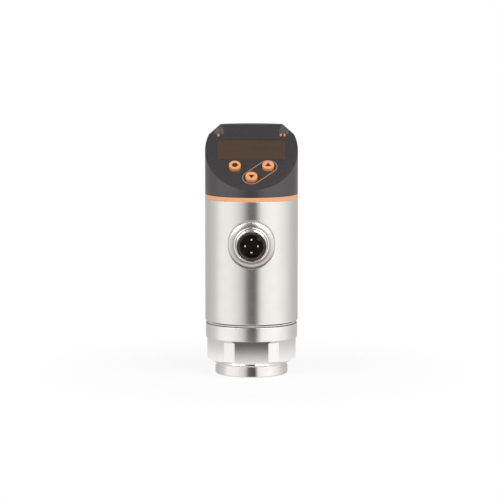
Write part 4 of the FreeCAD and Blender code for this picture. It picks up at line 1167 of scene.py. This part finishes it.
def area_lamp(name, azimuth, elevation, watts):
    """A square lamp that shines at the object from these angles in degrees."""
    data = bpy.data.lights.new(name, "AREA")
    data.size, data.energy = LAMP_SIZE, watts
    lamp = bpy.data.objects.new(name, data)
    height = math.radians(elevation)
    towards = around(math.cos(height), math.radians(azimuth), math.sin(height))
    lamp.location = LAMP_AIM + towards * LAMP_DISTANCE
    lamp.rotation_euler = towards.to_track_quat("Z", "Y").to_euler()
    bpy.context.scene.collection.objects.link(lamp)


# The floor fades into the background between these radii.
FLOOR_NEAR, FLOOR_FAR = 27 * MM, 106 * MM
# Reflections look through the floor inside the first of these radii and show it past the second.
FOOT_NEAR, FOOT_FAR = 36 * MM, 44 * MM
FLOOR_WHITE = 0.85
FLOOR_COLOUR = (0.93, 0.93, 0.93)
FLOOR_CLOUD = 30 * MM
FLOOR_GAP = 0.02 * MM
FLOOR_COLUMNS = 96


def make_floor():
    """A white round floor with the object's shadow; it fades into the background."""
    mesh = bmesh.new()
    lathe(mesh, [(0, 0), (FLOOR_FAR, 0)], FLOOR_COLUMNS, Matrix.Translation((0, 0, -FLOOR_GAP)))
    floor = make_object("studio_floor", mesh)
    made = Finish("floor_white", 0.7, specular=0.1)
    made.mottle(made.noise(FLOOR_CLOUD), FLOOR_COLOUR, share=0.01)
    white = made.node("ShaderNodeEmission").outputs["Emission"]
    lit = made.mix(made.math("MULTIPLY", seen_rays(made), FLOOR_WHITE), made.shader.outputs["BSDF"], white)
    length = made.node("ShaderNodeVectorMath", operation="LENGTH")
    made.link(made.coordinates, length.inputs[0])
    distance = length.outputs["Value"]
    far = made.spread(distance, FLOOR_NEAR, FLOOR_FAR, 0, 1, smooth=True)
    near = made.spread(distance, FOOT_NEAR, FOOT_FAR, 1, 0)
    glossy = made.node("ShaderNodeLightPath").outputs["Is Glossy Ray"]
    fade = made.math("MAXIMUM", far, made.math("MULTIPLY", near, glossy))
    made.link(made.mix(fade, lit, made.clear()), made.tree.nodes["Material Output"].inputs["Surface"])
    floor.data.materials.append(made.material)


make_process_body()
make_housing()
make_accent_ring()
make_bearing_ring()
make_connector_shell()
make_connector_insert()
make_contact_pins()
make_head()
make_lenses()
make_light_spots()
make_window()
make_buttons()
make_outline()
finish_inner_nodes()
make_camera()
make_world()
make_room()
area_lamp("key_light", azimuth=40, elevation=42, watts=6.0)
area_lamp("fill_light", azimuth=-50, elevation=38, watts=4.5)
make_floor()

bpy.context.scene.view_settings.view_transform = "Standard"
